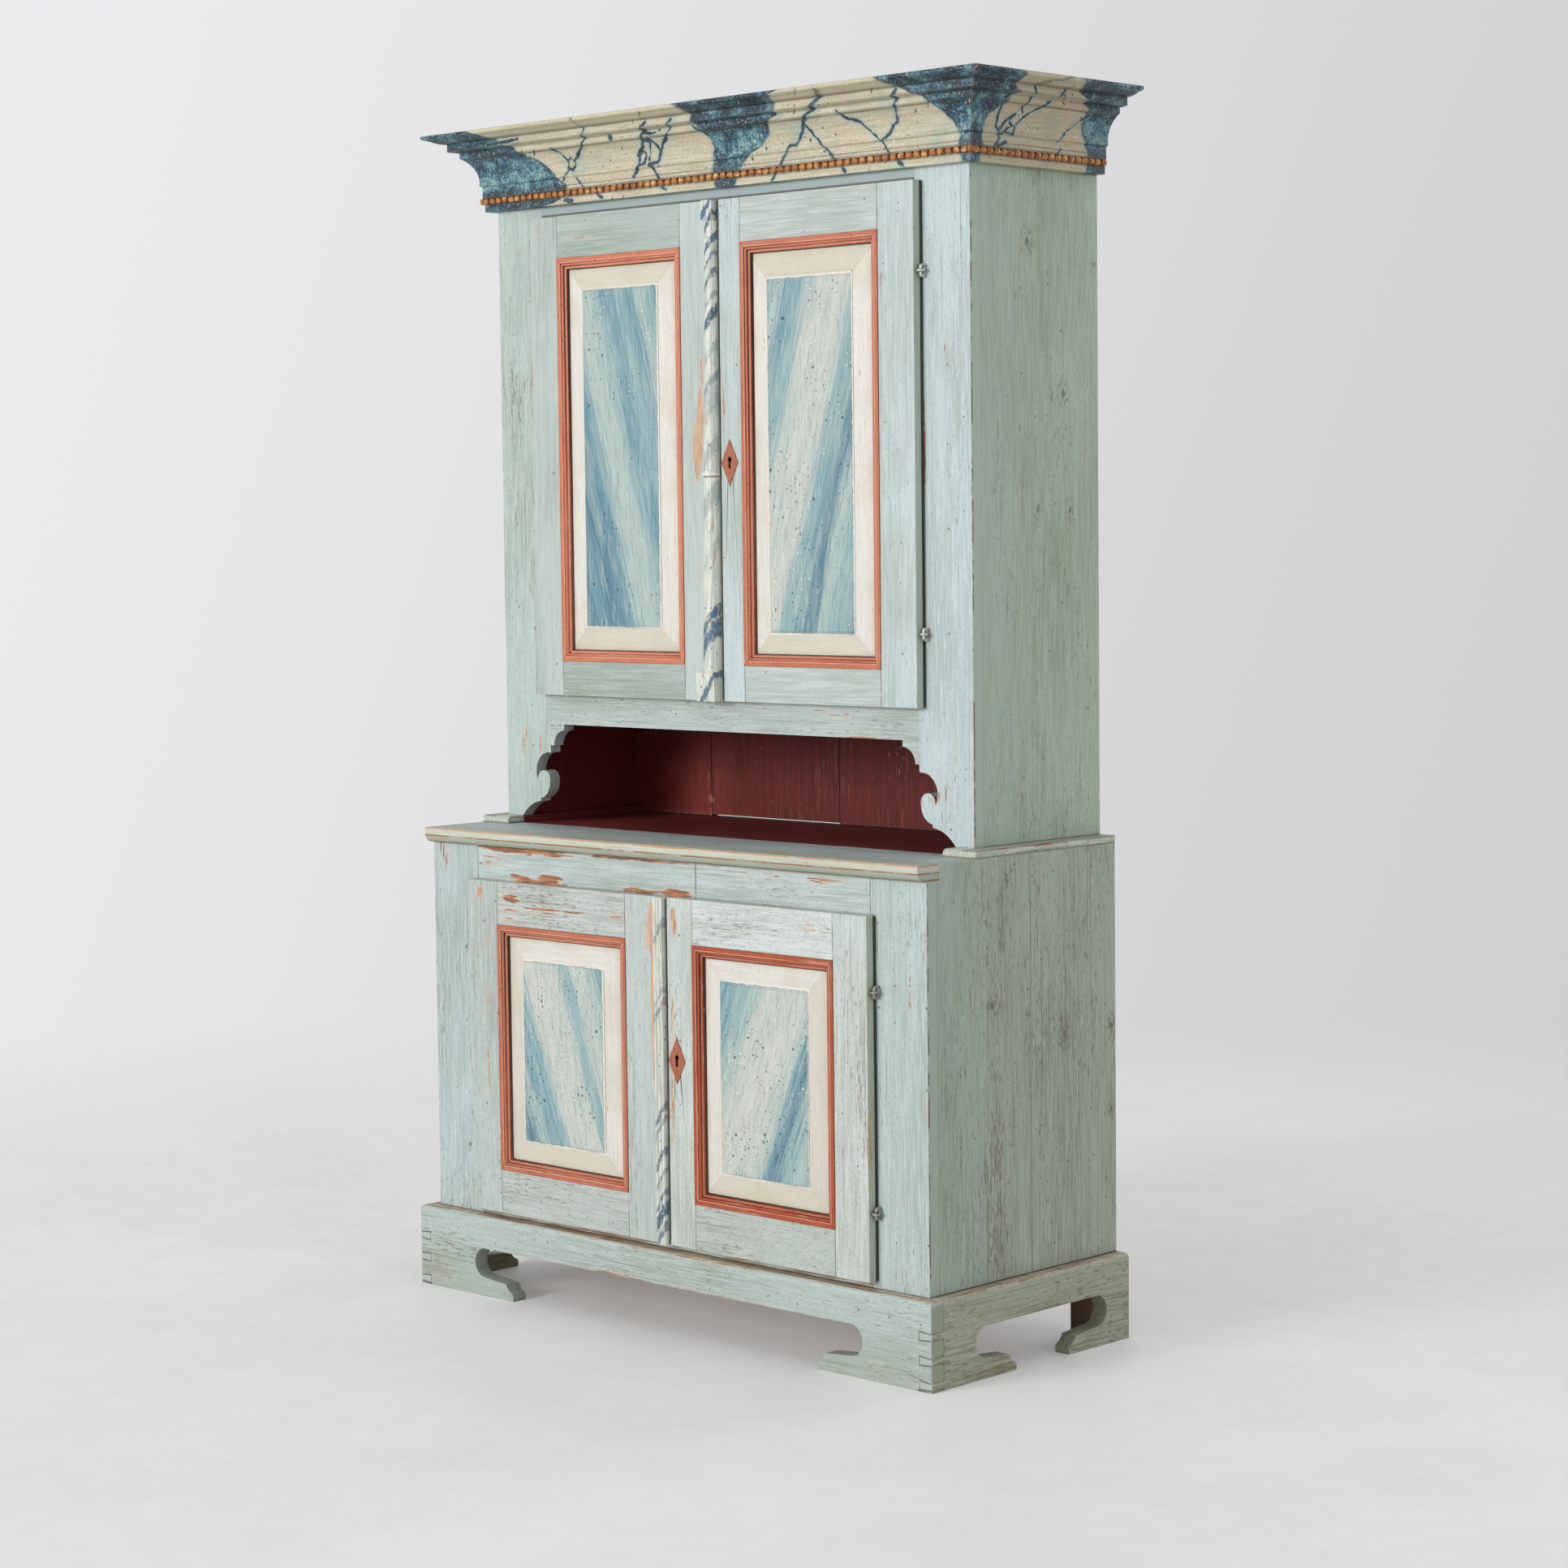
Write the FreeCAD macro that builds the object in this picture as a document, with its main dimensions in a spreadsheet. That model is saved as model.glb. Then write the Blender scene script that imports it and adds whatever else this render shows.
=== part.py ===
import FreeCAD, Part
import math
import os
import Sketcher

# A painted two-part cupboard: a shallow upper case with two tall doors over an open niche stands on
# runners on a deeper lower case with two doors and a bracket base. X runs to the right, Y to the back,
# Z up. Pieces are laid out from the lower case's front face (y = 0), then moved so that the origin is
# under the middle of the whole cupboard.

Vector = FreeCAD.Vector

SIZES = {
    # lower case
    "lower_width": 1198,
    "lower_depth": 482,
    "lower_case_height": 698,
    "side_thickness": 22,
    "frame_thickness": 24,
    "back_thickness": 18,
    "floor_thickness": 20,
    "shelf_thickness": 20,
    "shelf_setback": 30,
    "housing_depth": 8,
    "lower_stile_width": 120,
    "lower_rail_width": 69,
    "lower_shelf_rise": 274,
    "back_board_gap": 0.5,
    # counter and runners
    "counter_thickness": 22,
    "nosing_height": 27,
    "nosing_overhang": 21,
    "nosing_lap": 31,
    "nosing_face": 13,
    "nosing_round": 15,
    "nosing_arris": 3,
    "runner_lap": 16,
    "runner_thickness": 13,
    "runner_reach": 35,
    "runner_round": 9,
    # bracket base
    "base_height": 146,
    "base_thickness": 30,
    "base_overhang": 26,
    "base_round": 9,
    "base_back_thickness": 20,
    "apron_width": 59,
    "front_foot_neck": 149,
    "side_foot_neck": 109,
    "back_foot_neck": 60,
    "toe_length": 100,
    "toe_height": 29,
    "pin_first": 10,
    "pin_pitch": 40,
    "pin_tip": 11,
    "pin_root": 15,
    "block_side": 45,
    # upper case
    "upper_width": 1134,
    "setback": 155,
    "niche_height": 171,
    "niche_rail_width": 65,
    "niche_rail_drop": 39,
    "niche_cove": 28,
    "niche_ledge": 9,
    "upper_opening_height": 838,
    "upper_stile_width": 118,
    "top_rail_width": 31,
    "upper_floor_thickness": 22,
    "upper_back_joint": -17,
    "upper_back_width": 326,
    "upper_back_short": 3,
    "upper_shelf_first": 282,
    "upper_shelf_pitch": 285,
    "scroll_height": 119,
    "scroll_reach": 78,
    # cornice
    "cornice_height": 138,
    "cornice_overhang": 100,
    "cornice_tray": 40,
    "crown_nose": 7,
    "crown_reach": 33,
    "crown_drop": 15.5,
    "upper_fillet_height": 13.5,
    "upper_fillet_step": 18,
    "lower_fillet_height": 9.5,
    "cove_height": 50,
    "cove_reach": 25,
    "cove_hollow": 7.5,
    "fascia_step": 4,
    "frieze_proud": 17,
    "bead_drop": 114,
    "bead_height": 11,
    "bead_proud": 8,
    "bead_mitre_gap": 0.2,
    # doors
    "door_standoff": 2,
    "door_lip": 18,
    "door_inner": 8,
    "door_clearance": 1.5,
    "meeting_gap": 4,
    "upper_lip_side": 14,
    "upper_lip_end": 10,
    "upper_meeting_offset": 17,
    "upper_left_hinge_stile": 73,
    "upper_left_meeting_stile": 91,
    "upper_right_hinge_stile": 78,
    "upper_right_meeting_stile": 50,
    "upper_door_top_rail": 75,
    "upper_door_bottom_rail": 62,
    "lower_lip_side": 8,
    "lower_lip_end": 8,
    "lower_meeting_offset": 26,
    "lower_left_hinge_stile": 81,
    "lower_left_meeting_stile": 99,
    "lower_right_hinge_stile": 74,
    "lower_right_meeting_stile": 60,
    "lower_door_top_rail": 77,
    "lower_door_bottom_rail": 78,
    "groove_depth": 8,
    "panel_play": 1,
    "panel_setback": 11,
    "panel_tongue": 6,
    "panel_bevel": 40,
    "panel_bevel_rise": 5.5,
    "panel_field_rise": 7,
    "moulding_width": 21,
    "moulding_proud": 1.5,
    "moulding_drop": 10,
    "tenon_length": 35,
    "tenon_thickness": 8,
    "tenon_shoulder": 12,
    "tenon_fit": 0.1,
    "mortise_play": 1,
    # applied column and reeded strip on the left doors
    "column_inset": 0.5,
    "column_foot_radius": 19,
    "column_top_radius": 12,
    "column_foot_width": 45,
    "column_foot_height": 49,
    "column_foot_proud": 20,
    "column_cap_width": 26,
    "column_cap_height": 32,
    "column_cap_proud": 13,
    "column_ring_height": 9,
    "column_ring_rise": 339,
    "column_ring_proud": 3,
    "strip_width": 22,
    "strip_proud": 10,
    "strip_reed": 2,
    # ironwork
    "hinge_wire": 5,
    "hinge_pin_height": 18,
    "hinge_offset": 8,
    "eye_wire": 4.4,
    "eye_clearance": 0.5,
    "upper_hinge_low": 121,
    "upper_hinge_high": 712,
    "lower_hinge_low": 113,
    "lower_hinge_high": 474,
    "escutcheon_inset": 1,
    "escutcheon_width": 40,
    "escutcheon_height": 80,
    "escutcheon_thickness": 1.5,
    "key_barrel": 9,
    "key_slot": 5,
    "key_height": 20,
    "upper_lock_rise": 410,
    "lower_lock_rise": 320,
    "lock_inset": 2,
    "lock_width": 40,
    "lock_height": 70,
    "lock_thickness": 10,
    "bolt_height": 14,
    "bolt_thickness": 5,
    "bolt_length": 32,
    "bolt_clearance": 0.4,
}

doc = FreeCAD.newDocument("kas_cupboard")
sheet = doc.addObject("Spreadsheet::Sheet", "sizes")
for row, (alias, millimetres) in enumerate(SIZES.items(), start=1):
    sheet.set(f"A{row}", alias)
    sheet.set(f"B{row}", str(millimetres))
    sheet.setAlias(f"B{row}", alias)
doc.recompute()


class Size:
    """A length that carries both its number and the formula that ties it to the sheet."""

    def __init__(self, number, formula):
        self.number = number
        self.formula = formula

    def __float__(self):
        return float(self.number)

    def __add__(self, other):
        other = as_size(other)
        return Size(self.number + other.number, f"({self.formula} + {other.formula})")

    def __sub__(self, other):
        other = as_size(other)
        return Size(self.number - other.number, f"({self.formula} - {other.formula})")

    def __mul__(self, other):
        other = as_size(other)
        return Size(self.number * other.number, f"({self.formula} * {other.formula})")

    def __truediv__(self, other):
        other = as_size(other)
        return Size(self.number / other.number, f"({self.formula} / {other.formula})")

    def __neg__(self):
        return as_size(0) - self

    def __radd__(self, other):
        return as_size(other) + self

    def __rsub__(self, other):
        return as_size(other) - self

    def __rmul__(self, other):
        return as_size(other) * self


def as_size(value):
    if isinstance(value, Size):
        return value
    return Size(float(value), repr(float(value)))


def larger(first, second):
    return Size(max(first.number, second.number), f"max({first.formula}; {second.formula})")


class Sheet:
    """Gives each cell of the sheet as a Size, by its alias."""

    def __getattr__(self, alias):
        return Size(float(getattr(sheet, alias)), f"sizes.{alias}")


size = Sheet()

# ---------------------------------------------------------------------------------------------------
# Places worked out from the sizes
# ---------------------------------------------------------------------------------------------------

lower_half = size.lower_width / 2
lower_inside = lower_half - size.side_thickness
lower_opening = lower_half - size.lower_stile_width
counter_z = size.base_height + size.lower_case_height
floor_z = size.base_height + size.floor_thickness
back_y = size.lower_depth - size.back_thickness

upper_half = size.upper_width / 2
upper_inside = upper_half - size.side_thickness
upper_opening = upper_half - size.upper_stile_width
runner_inside = upper_inside - size.runner_lap
upper_front = size.setback
upper_frame_back = upper_front + size.frame_thickness
upper_foot_z = counter_z + size.runner_thickness
niche_top_z = upper_foot_z + size.niche_height
upper_sill_z = niche_top_z + size.niche_rail_width
upper_head_z = upper_sill_z + size.upper_opening_height
cornice_z = upper_head_z + size.top_rail_width
top_z = cornice_z + size.cornice_height
case_top_z = top_z - size.cornice_tray

lower_head_z = counter_z - size.nosing_height - size.lower_rail_width

base_half = lower_half + size.base_overhang
base_front = -size.base_overhang
base_inside_y = base_front + size.base_thickness
apron_z = size.base_height - size.apron_width

door_front = size.door_standoff + size.door_lip
front_proud = larger(size.base_overhang, door_front + size.strip_proud)
row_shift = (front_proud - size.lower_depth) / 2

# ---------------------------------------------------------------------------------------------------
# How pieces are made
# ---------------------------------------------------------------------------------------------------

pieces = []


def finish(piece):
    """Marks an object as one finished sub-part."""
    pieces.append(piece)
    return piece


def bind_place(item, x, y, z):
    """Ties an object's position to the sheet; y is counted from the lower case's front."""
    item.setExpression("Placement.Base.x", as_size(x).formula)
    item.setExpression("Placement.Base.y", (as_size(y) + row_shift).formula)
    item.setExpression("Placement.Base.z", as_size(z).formula)


def block(name, x, y, z):
    """A straight board between two places along each axis."""
    box = doc.addObject("Part::Box", name)
    for length_name, (low, high) in (("Length", x), ("Width", y), ("Height", z)):
        box.setExpression(length_name, (as_size(high) - as_size(low)).formula)
    bind_place(box, x[0], y[0], z[0])
    return box


def cylinder(name, radius, length, place, turn=None):
    rod = doc.addObject("Part::Cylinder", name)
    rod.setExpression("Radius", as_size(radius).formula)
    rod.setExpression("Height", as_size(length).formula)
    if turn is not None:
        rod.Placement = FreeCAD.Placement(Vector(0, 0, 0), turn)
    bind_place(rod, *place)
    return rod


def cut(name, base, tools):
    """The base with every tool taken away."""
    tool = tools[0] if len(tools) == 1 else fuse(name + "_waste", tools)
    result = doc.addObject("Part::Cut", name)
    result.Base = base
    result.Tool = tool
    return result


def fuse(name, parts):
    result = doc.addObject("Part::MultiFuse", name)
    result.Shapes = parts
    result.Refine = True
    return result


def group(name, parts):
    """Several separate pieces that share one node."""
    result = doc.addObject("Part::Compound", name)
    result.Links = parts
    return result


def mirrored_span(sign, inner, outer):
    """The span between two distances from the middle, on the side that sign names."""
    if sign > 0:
        return (as_size(inner), as_size(outer))
    return (-as_size(outer), -as_size(inner))


def new_body(name, x=0, y=0, z=0):
    body = doc.addObject("PartDesign::Body", name)
    bind_place(body, x, y, z)
    return body


def arc_radius(start, end, rise):
    """Radius of the arc between two points that rises by `rise` over its chord."""
    across = as_size(end[0]) - as_size(start[0])
    up = as_size(end[1]) - as_size(start[1])
    rise = as_size(rise)
    return (across * across + up * up) / (rise * 8) + rise / 2


def arc_centre(start, end, radius, side):
    across = end[0] - start[0]
    up = end[1] - start[1]
    chord = math.hypot(across, up)
    height = math.sqrt(max(radius * radius - chord * chord / 4, 0))
    middle = ((start[0] + end[0]) / 2, (start[1] + end[1]) / 2)
    return (middle[0] - side * up / chord * height, middle[1] + side * across / chord * height)


def draw(sketch, path):
    """Draws one closed outline and ties every corner and radius to the sheet.

    The path is a list of corners (x, y) or (x, y, rise). A rise makes the stretch that ends at that
    corner an arc: positive bulges to the right of the way it runs, negative to the left.
    """
    first = sketch.GeometryCount
    count = len(path)
    starts = []
    ends = []
    for index, corner in enumerate(path):
        before = path[index - 1]
        start = (float(before[0]), float(before[1]))
        end = (float(corner[0]), float(corner[1]))
        if len(corner) == 2:
            line = Part.LineSegment(Vector(*start, 0), Vector(*end, 0))
            sketch.addGeometry(line, False)
            starts.append(1)
            ends.append(2)
            continue
        side = 1 if float(corner[2]) > 0 else -1
        radius = float(arc_radius(before, corner, as_size(corner[2]) * side))
        centre = arc_centre(start, end, radius, side)
        from_angle = math.atan2(start[1] - centre[1], start[0] - centre[0])
        to_angle = math.atan2(end[1] - centre[1], end[0] - centre[0])
        if side < 0:
            from_angle, to_angle = to_angle, from_angle
        if to_angle < from_angle:
            to_angle += 2 * math.pi
        circle = Part.Circle(Vector(*centre, 0), Vector(0, 0, 1), radius)
        sketch.addGeometry(Part.ArcOfCircle(circle, from_angle, to_angle), False)
        starts.append(1 if side > 0 else 2)
        ends.append(2 if side > 0 else 1)
    for index in range(count):
        following = (index + 1) % count
        joint = (first + index, ends[index], first + following, starts[following])
        sketch.addConstraint(Sketcher.Constraint("Coincident", *joint))
    for index, corner in enumerate(path):
        for kind, coordinate in (("DistanceX", corner[0]), ("DistanceY", corner[1])):
            place = (-1, 1, first + index, ends[index], float(coordinate))
            number = sketch.addConstraint(Sketcher.Constraint(kind, *place))
            sketch.setExpression(f"Constraints[{number}]", as_size(coordinate).formula)
        if len(corner) == 3:
            side = 1 if float(corner[2]) > 0 else -1
            radius = arc_radius(path[index - 1], corner, as_size(corner[2]) * side)
            round_edge = Sketcher.Constraint("Radius", first + index, float(radius))
            number = sketch.addConstraint(round_edge)
            sketch.setExpression(f"Constraints[{number}]", radius.formula)


def draw_open(sketch, path):
    """Draws a run of straight lines and ties every corner to the sheet."""
    first = sketch.GeometryCount
    for index in range(1, len(path)):
        start = Vector(float(path[index - 1][0]), float(path[index - 1][1]), 0)
        end = Vector(float(path[index][0]), float(path[index][1]), 0)
        sketch.addGeometry(Part.LineSegment(start, end), False)
        if index > 1:
            joint = (first + index - 2, 2, first + index - 1, 1)
            sketch.addConstraint(Sketcher.Constraint("Coincident", *joint))
    for index, corner in enumerate(path):
        line = first + max(index - 1, 0)
        end = 2 if index else 1
        for kind, coordinate in (("DistanceX", corner[0]), ("DistanceY", corner[1])):
            place = (-1, 1, line, end, float(coordinate))
            number = sketch.addConstraint(Sketcher.Constraint(kind, *place))
            sketch.setExpression(f"Constraints[{number}]", as_size(coordinate).formula)


def attach(sketch, body, role):
    """Lays a sketch on one of the body's own planes."""
    plane = [feature for feature in body.Origin.OriginFeatures if feature.Role == role][0]
    sketch.AttachmentSupport = (plane, [""])
    sketch.MapMode = "FlatFace"


def sketch_on(body, name, role, paths, height=None):
    """A sketch on one of the body's own planes, with one or more closed outlines."""
    sketch = body.newObject("Sketcher::SketchObject", name)
    attach(sketch, body, role)
    if height is not None:
        sketch.setExpression("AttachmentOffset.Base.z", as_size(height).formula)
    for path in paths:
        draw(sketch, path)
    return sketch


def pad(body, name, sketch, length, backwards=False):
    feature = body.newObject("PartDesign::Pad", name)
    feature.Profile = sketch
    feature.setExpression("Length", as_size(length).formula)
    feature.Reversed = backwards
    return feature


def pocket(body, name, sketch, backwards=False):
    """Cuts the sketch right through the body."""
    feature = body.newObject("PartDesign::Pocket", name)
    feature.Profile = sketch
    feature.Type = "ThroughAll"
    feature.Reversed = backwards
    return feature


def round_edges(body, name, radius, is_wanted):
    """Rounds the edges of the body's last feature that pass the test."""
    doc.recompute()
    tip = body.Tip
    edges = []
    for number, edge in enumerate(tip.Shape.Edges, start=1):
        if is_wanted(edge):
            edges.append(f"Edge{number}")
    feature = body.newObject("PartDesign::Fillet", name)
    feature.Base = (tip, edges)
    feature.setExpression("Radius", as_size(radius).formula)
    return feature


def mirror_path(path):
    """The same outline on the other side of the middle, walked the other way round."""
    turned = []
    count = len(path)
    for index in range(count):
        corner = path[count - 1 - index]
        following = path[(count - index) % count]
        if len(following) == 3:
            turned.append((-as_size(corner[0]), corner[1], following[2]))
        else:
            turned.append((-as_size(corner[0]), corner[1]))
    return turned


def section_wire(path, origin, across, outward):
    """The closed section of a moulding in space; corners with a rise end an arc, as in draw."""
    edges = []
    for index, corner in enumerate(path):
        before = path[index - 1]
        start = origin + across * float(before[0]) + outward * float(before[1])
        end = origin + across * float(corner[0]) + outward * float(corner[1])
        if len(corner) == 2:
            edges.append(Part.makeLine(start, end))
            continue
        chord = end - start
        step = (float(corner[0]) - float(before[0]), float(corner[1]) - float(before[1]))
        right = (across * step[1] - outward * step[0]) * (float(corner[2]) / chord.Length)
        edges.append(Part.Arc(start, start + chord / 2 + right, end).toShape())
    return Part.Wire(edges)


def mitred_length(path, origin, along, length, across, outward, spread, mitres=(True, True)):
    """A straight moulding cut at 45 degrees.

    Its section lies across `across` and `outward`; `spread` is +1 where the moulding grows longer
    away from its first edge, as round the outside of a case, and -1 where it grows shorter.
    """
    reach = max(abs(float(corner[0])) for corner in path) + 1
    depths = [float(corner[1]) for corner in path]
    low = min(depths) - 1
    high = max(depths) + 1
    run_out = reach if spread > 0 else 0
    starts_at = origin - along * (run_out if mitres[0] else 0)
    total = length + run_out * (int(mitres[0]) + int(mitres[1]))
    section = Part.Face(section_wire(path, starts_at, across, outward))
    moulding = section.extrude(along * total)
    for mitred, corner, inward in ((mitres[0], origin, along), (mitres[1], origin + along * length, -along)):
        if not mitred:
            continue
        if spread > 0:
            points = [corner, corner - inward * reach, corner - inward * reach + across * reach]
        else:
            points = [corner, corner + across * reach, corner + across * reach + inward * reach]
        points = [point + outward * low for point in points]
        triangle = Part.Face(Part.makePolygon(points + [points[0]]))
        moulding = moulding.cut(triangle.extrude(outward * (high - low)))
    return moulding


def shaped(name, shape):
    """A sub-part whose solid is worked out directly from the sheet's values."""
    feature = doc.addObject("Part::Feature", name)
    feature.Shape = shape
    feature.Placement = FreeCAD.Placement(Vector(0, float(row_shift), 0), FreeCAD.Rotation())
    return feature


# ---------------------------------------------------------------------------------------------------
# Bracket base
# ---------------------------------------------------------------------------------------------------


def foot_outline(corner, inward, neck):
    """The cut edge of a bracket foot, from the toe on the floor up to the apron.

    `corner` is the foot's outer end, `inward` is +1 or -1 and points at the cut-out. The void bites
    in behind the neck over a low toe with an ogee nose.
    """
    throat = as_size(corner) + as_size(neck) * inward
    reach = size.toe_length * inward
    nose = size.toe_height * inward
    return [
        (throat + reach, 0),
        (throat + reach - nose * 0.07, size.toe_height * 0.5, nose * 0.1),
        (throat + reach - nose * 0.55, size.toe_height, -nose * 0.09),
        (throat + reach * 0.25, size.toe_height * 1.17),
        (throat, apron_z * 0.7, -reach * 0.075),
        (throat + reach * 0.2, apron_z, -reach * 0.045),
    ]


def backwards(path):
    """The same open edge walked the other way; each arc's bulge moves to its new end corner."""
    turned = [path[-1][:2]]
    for index in range(len(path) - 1, 0, -1):
        corner = path[index - 1][:2]
        if len(path[index]) == 3:
            corner = corner + (-as_size(path[index][2]),)
        turned.append(corner)
    return turned


def pin_centres():
    centres = []
    height = size.pin_first
    while float(height) + float(size.pin_root) < float(size.base_height - size.base_round * 2):
        centres.append(height)
        height = height + size.pin_pitch
    return centres


def pin_outline(sign, centre):
    """A dovetail pin seen from the front: it narrows towards the corner of the base."""
    tip = base_half * sign
    root = (base_half - size.base_thickness) * sign
    path = [
        (tip, centre - size.pin_tip / 2),
        (tip, centre + size.pin_tip / 2),
        (root, centre + size.pin_root / 2),
        (root, centre - size.pin_root / 2),
    ]
    return path


def make_base_front():
    body = new_body("base_front", y=base_front)
    left = foot_outline(-base_half, 1, size.front_foot_neck)
    right = foot_outline(base_half, -1, size.front_foot_neck)
    outline = [(-base_half, 0), (-base_half, size.base_height), (base_half, size.base_height), (base_half, 0)]
    outline += right + backwards(left)
    board = sketch_on(body, "base_front_outline", "XZ_Plane", [outline])
    pad(body, "base_front_board", board, size.base_thickness, backwards=True)
    sockets = []
    for sign in (-1, 1):
        for centre in pin_centres():
            sockets.append(pin_outline(sign, centre))
    socket_sketch = sketch_on(body, "base_front_sockets", "XZ_Plane", sockets)
    pocket(body, "base_front_dovetails", socket_sketch)
    half = float(base_half)
    height = float(size.base_height)

    def is_outer_top(edge):
        box = edge.BoundBox
        on_top = box.ZMin > height - 0.01
        return on_top and (abs(box.YMax) < 0.01 or box.XMin > half - 0.01 or box.XMax < 0.01 - half)

    round_edges(body, "base_front_round", size.base_round, is_outer_top)
    return finish(body)


def make_base_side(name, sign):
    """A side board of the base: its pins run forward through the front board."""
    body = new_body(name, x=(base_half * sign if sign > 0 else size.base_thickness - base_half))
    front = foot_outline(base_front, 1, size.side_foot_neck)
    back = foot_outline(size.lower_depth, -1, size.back_foot_neck)
    outline = [
        (base_inside_y, 0),
        (base_inside_y, size.base_height),
        (size.lower_depth, size.base_height),
        (size.lower_depth, 0),
    ]
    outline += back + backwards(front)
    board = sketch_on(body, name + "_outline", "YZ_Plane", [outline])
    pad(body, name + "_board", board, size.base_thickness, backwards=True)
    height = float(size.base_height)
    outer = 0.0 if sign > 0 else -float(size.base_thickness)

    def is_outer_top(edge):
        box = edge.BoundBox
        same_side = abs(box.XMin - outer) < 0.01 and abs(box.XMax - outer) < 0.01
        return box.ZMin > height - 0.01 and same_side and box.YLength > box.XLength + box.ZLength

    round_edges(body, name + "_round", size.base_round, is_outer_top)
    shift = base_half if sign > 0 else size.base_thickness - base_half
    pins = []
    for centre in pin_centres():
        pins.append([(as_size(x) - shift, z) for x, z in pin_outline(sign, centre)])
    pin_sketch = sketch_on(body, name + "_pin_outlines", "XZ_Plane", pins, height=-base_inside_y)
    pad(body, name + "_pins", pin_sketch, size.base_thickness)
    return finish(body)


def make_base():
    make_base_front()
    make_base_side("base_side_left", -1)
    make_base_side("base_side_right", 1)
    inside = base_half - size.base_thickness
    rear = (size.lower_depth - size.base_back_thickness, size.lower_depth)
    finish(block("base_back", (-inside, inside), rear, (apron_z, size.base_height)))
    blocks = []
    rows = (
        ("front", (base_inside_y, base_inside_y + size.block_side)),
        ("back", (rear[0] - size.block_side, rear[0])),
    )
    for row_name, depth in rows:
        for sign, side in ((-1, "left"), (1, "right")):
            across = mirrored_span(sign, inside - size.block_side, inside)
            name = f"base_block_{row_name}_{side}"
            blocks.append(block(name, across, depth, (0, size.base_height)))
    finish(group("base_blocks", blocks))


# ---------------------------------------------------------------------------------------------------
# Lower case
# ---------------------------------------------------------------------------------------------------


def back_boards(name, half, joints, depth, height):
    """Upright back boards side by side between the case sides, met at the given joints."""
    lefts = [-half] + joints
    rights = [joint - size.back_board_gap for joint in joints] + [half]
    boards = []
    for number, across in enumerate(zip(lefts, rights), start=1):
        boards.append(block(f"{name}_board_{number}", across, depth, height))
    return boards


def lower_side(name, sign):
    across = mirrored_span(sign, lower_inside, lower_half)
    depth = (size.frame_thickness, size.lower_depth)
    board = block(name + "_board", across, depth, (size.base_height, counter_z))
    nosing_seat = block(
        name + "_nosing_seat",
        across,
        (size.frame_thickness, size.nosing_lap),
        (counter_z - size.nosing_height, counter_z),
    )
    housing = mirrored_span(sign, lower_inside, lower_inside + size.housing_depth)
    shelf_z = floor_z + size.lower_shelf_rise
    shelf_housing = block(
        name + "_shelf_housing",
        housing,
        (size.frame_thickness + size.shelf_setback, back_y),
        (shelf_z, shelf_z + size.shelf_thickness),
    )
    finish(cut(name, board, [nosing_seat, shelf_housing]))


def make_lower_case():
    lower_side("lower_side_left", -1)
    lower_side("lower_side_right", 1)
    frame = (as_size(0), size.frame_thickness)
    nosing_under = counter_z - size.nosing_height
    for sign, side in ((-1, "left"), (1, "right")):
        across = mirrored_span(sign, lower_opening, lower_half)
        finish(block(f"lower_stile_{side}", across, frame, (size.base_height, nosing_under)))
    opening = (-lower_opening, lower_opening)
    finish(block("lower_top_rail", opening, frame, (lower_head_z, nosing_under)))
    inside = (-lower_inside, lower_inside)
    behind_frame = (size.frame_thickness, back_y)
    floor_board = block("lower_floor_board", inside, behind_frame, (size.base_height, floor_z))
    floor_front = block("lower_floor_front", opening, frame, (size.base_height, floor_z))
    finish(fuse("lower_floor", [floor_board, floor_front]))
    under_counter = counter_z - size.counter_thickness
    back_depth = (back_y, size.lower_depth)
    back_height = (size.base_height, under_counter)
    joints = [-lower_inside / 2, as_size(0), lower_inside / 2]
    boards = back_boards("lower_back", lower_inside, joints, back_depth, back_height)
    finish(group("lower_back", boards))
    shelf_z = floor_z + size.lower_shelf_rise
    shelf_half = lower_inside + size.housing_depth
    shelf_depth = (size.frame_thickness + size.shelf_setback, back_y)
    shelf_height = (shelf_z, shelf_z + size.shelf_thickness)
    finish(block("lower_shelf", (-shelf_half, shelf_half), shelf_depth, shelf_height))


def make_counter():
    under_counter = counter_z - size.counter_thickness
    top_depth = (size.nosing_lap, size.lower_depth)
    finish(block("counter_top", (-lower_inside, lower_inside), top_depth, (under_counter, counter_z)))
    body = new_body("counter_nosing", x=-lower_half)
    under = counter_z - size.nosing_height
    front = -size.nosing_overhang
    outline = [
        (size.nosing_lap, under),
        (size.nosing_lap, counter_z),
        (front + size.nosing_arris, counter_z),
        (front, counter_z - size.nosing_arris, size.nosing_arris * 0.2929),
        (front, counter_z - size.nosing_face),
        (front + size.nosing_round, under, size.nosing_round * 0.27),
    ]
    section = sketch_on(body, "counter_nosing_section", "YZ_Plane", [outline])
    pad(body, "counter_nosing_length", section, size.lower_width)
    finish(body)


def make_runners():
    """Strips that carry the upper case's sides; their front ends are rounded over."""
    front = upper_front - size.runner_reach
    for sign, side in ((-1, "left"), (1, "right")):
        across = mirrored_span(sign, runner_inside, lower_half)
        body = new_body(f"runner_{side}", x=across[0])
        outline = [
            (size.lower_depth, counter_z),
            (size.lower_depth, upper_foot_z),
            (front + size.runner_round, upper_foot_z),
            (front, upper_foot_z - size.runner_round, size.runner_round * 0.2929),
            (front, counter_z),
        ]
        section = sketch_on(body, f"runner_{side}_section", "YZ_Plane", [outline])
        pad(body, f"runner_{side}_width", section, lower_half - runner_inside)
        finish(body)


# ---------------------------------------------------------------------------------------------------
# Upper case
# ---------------------------------------------------------------------------------------------------

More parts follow.
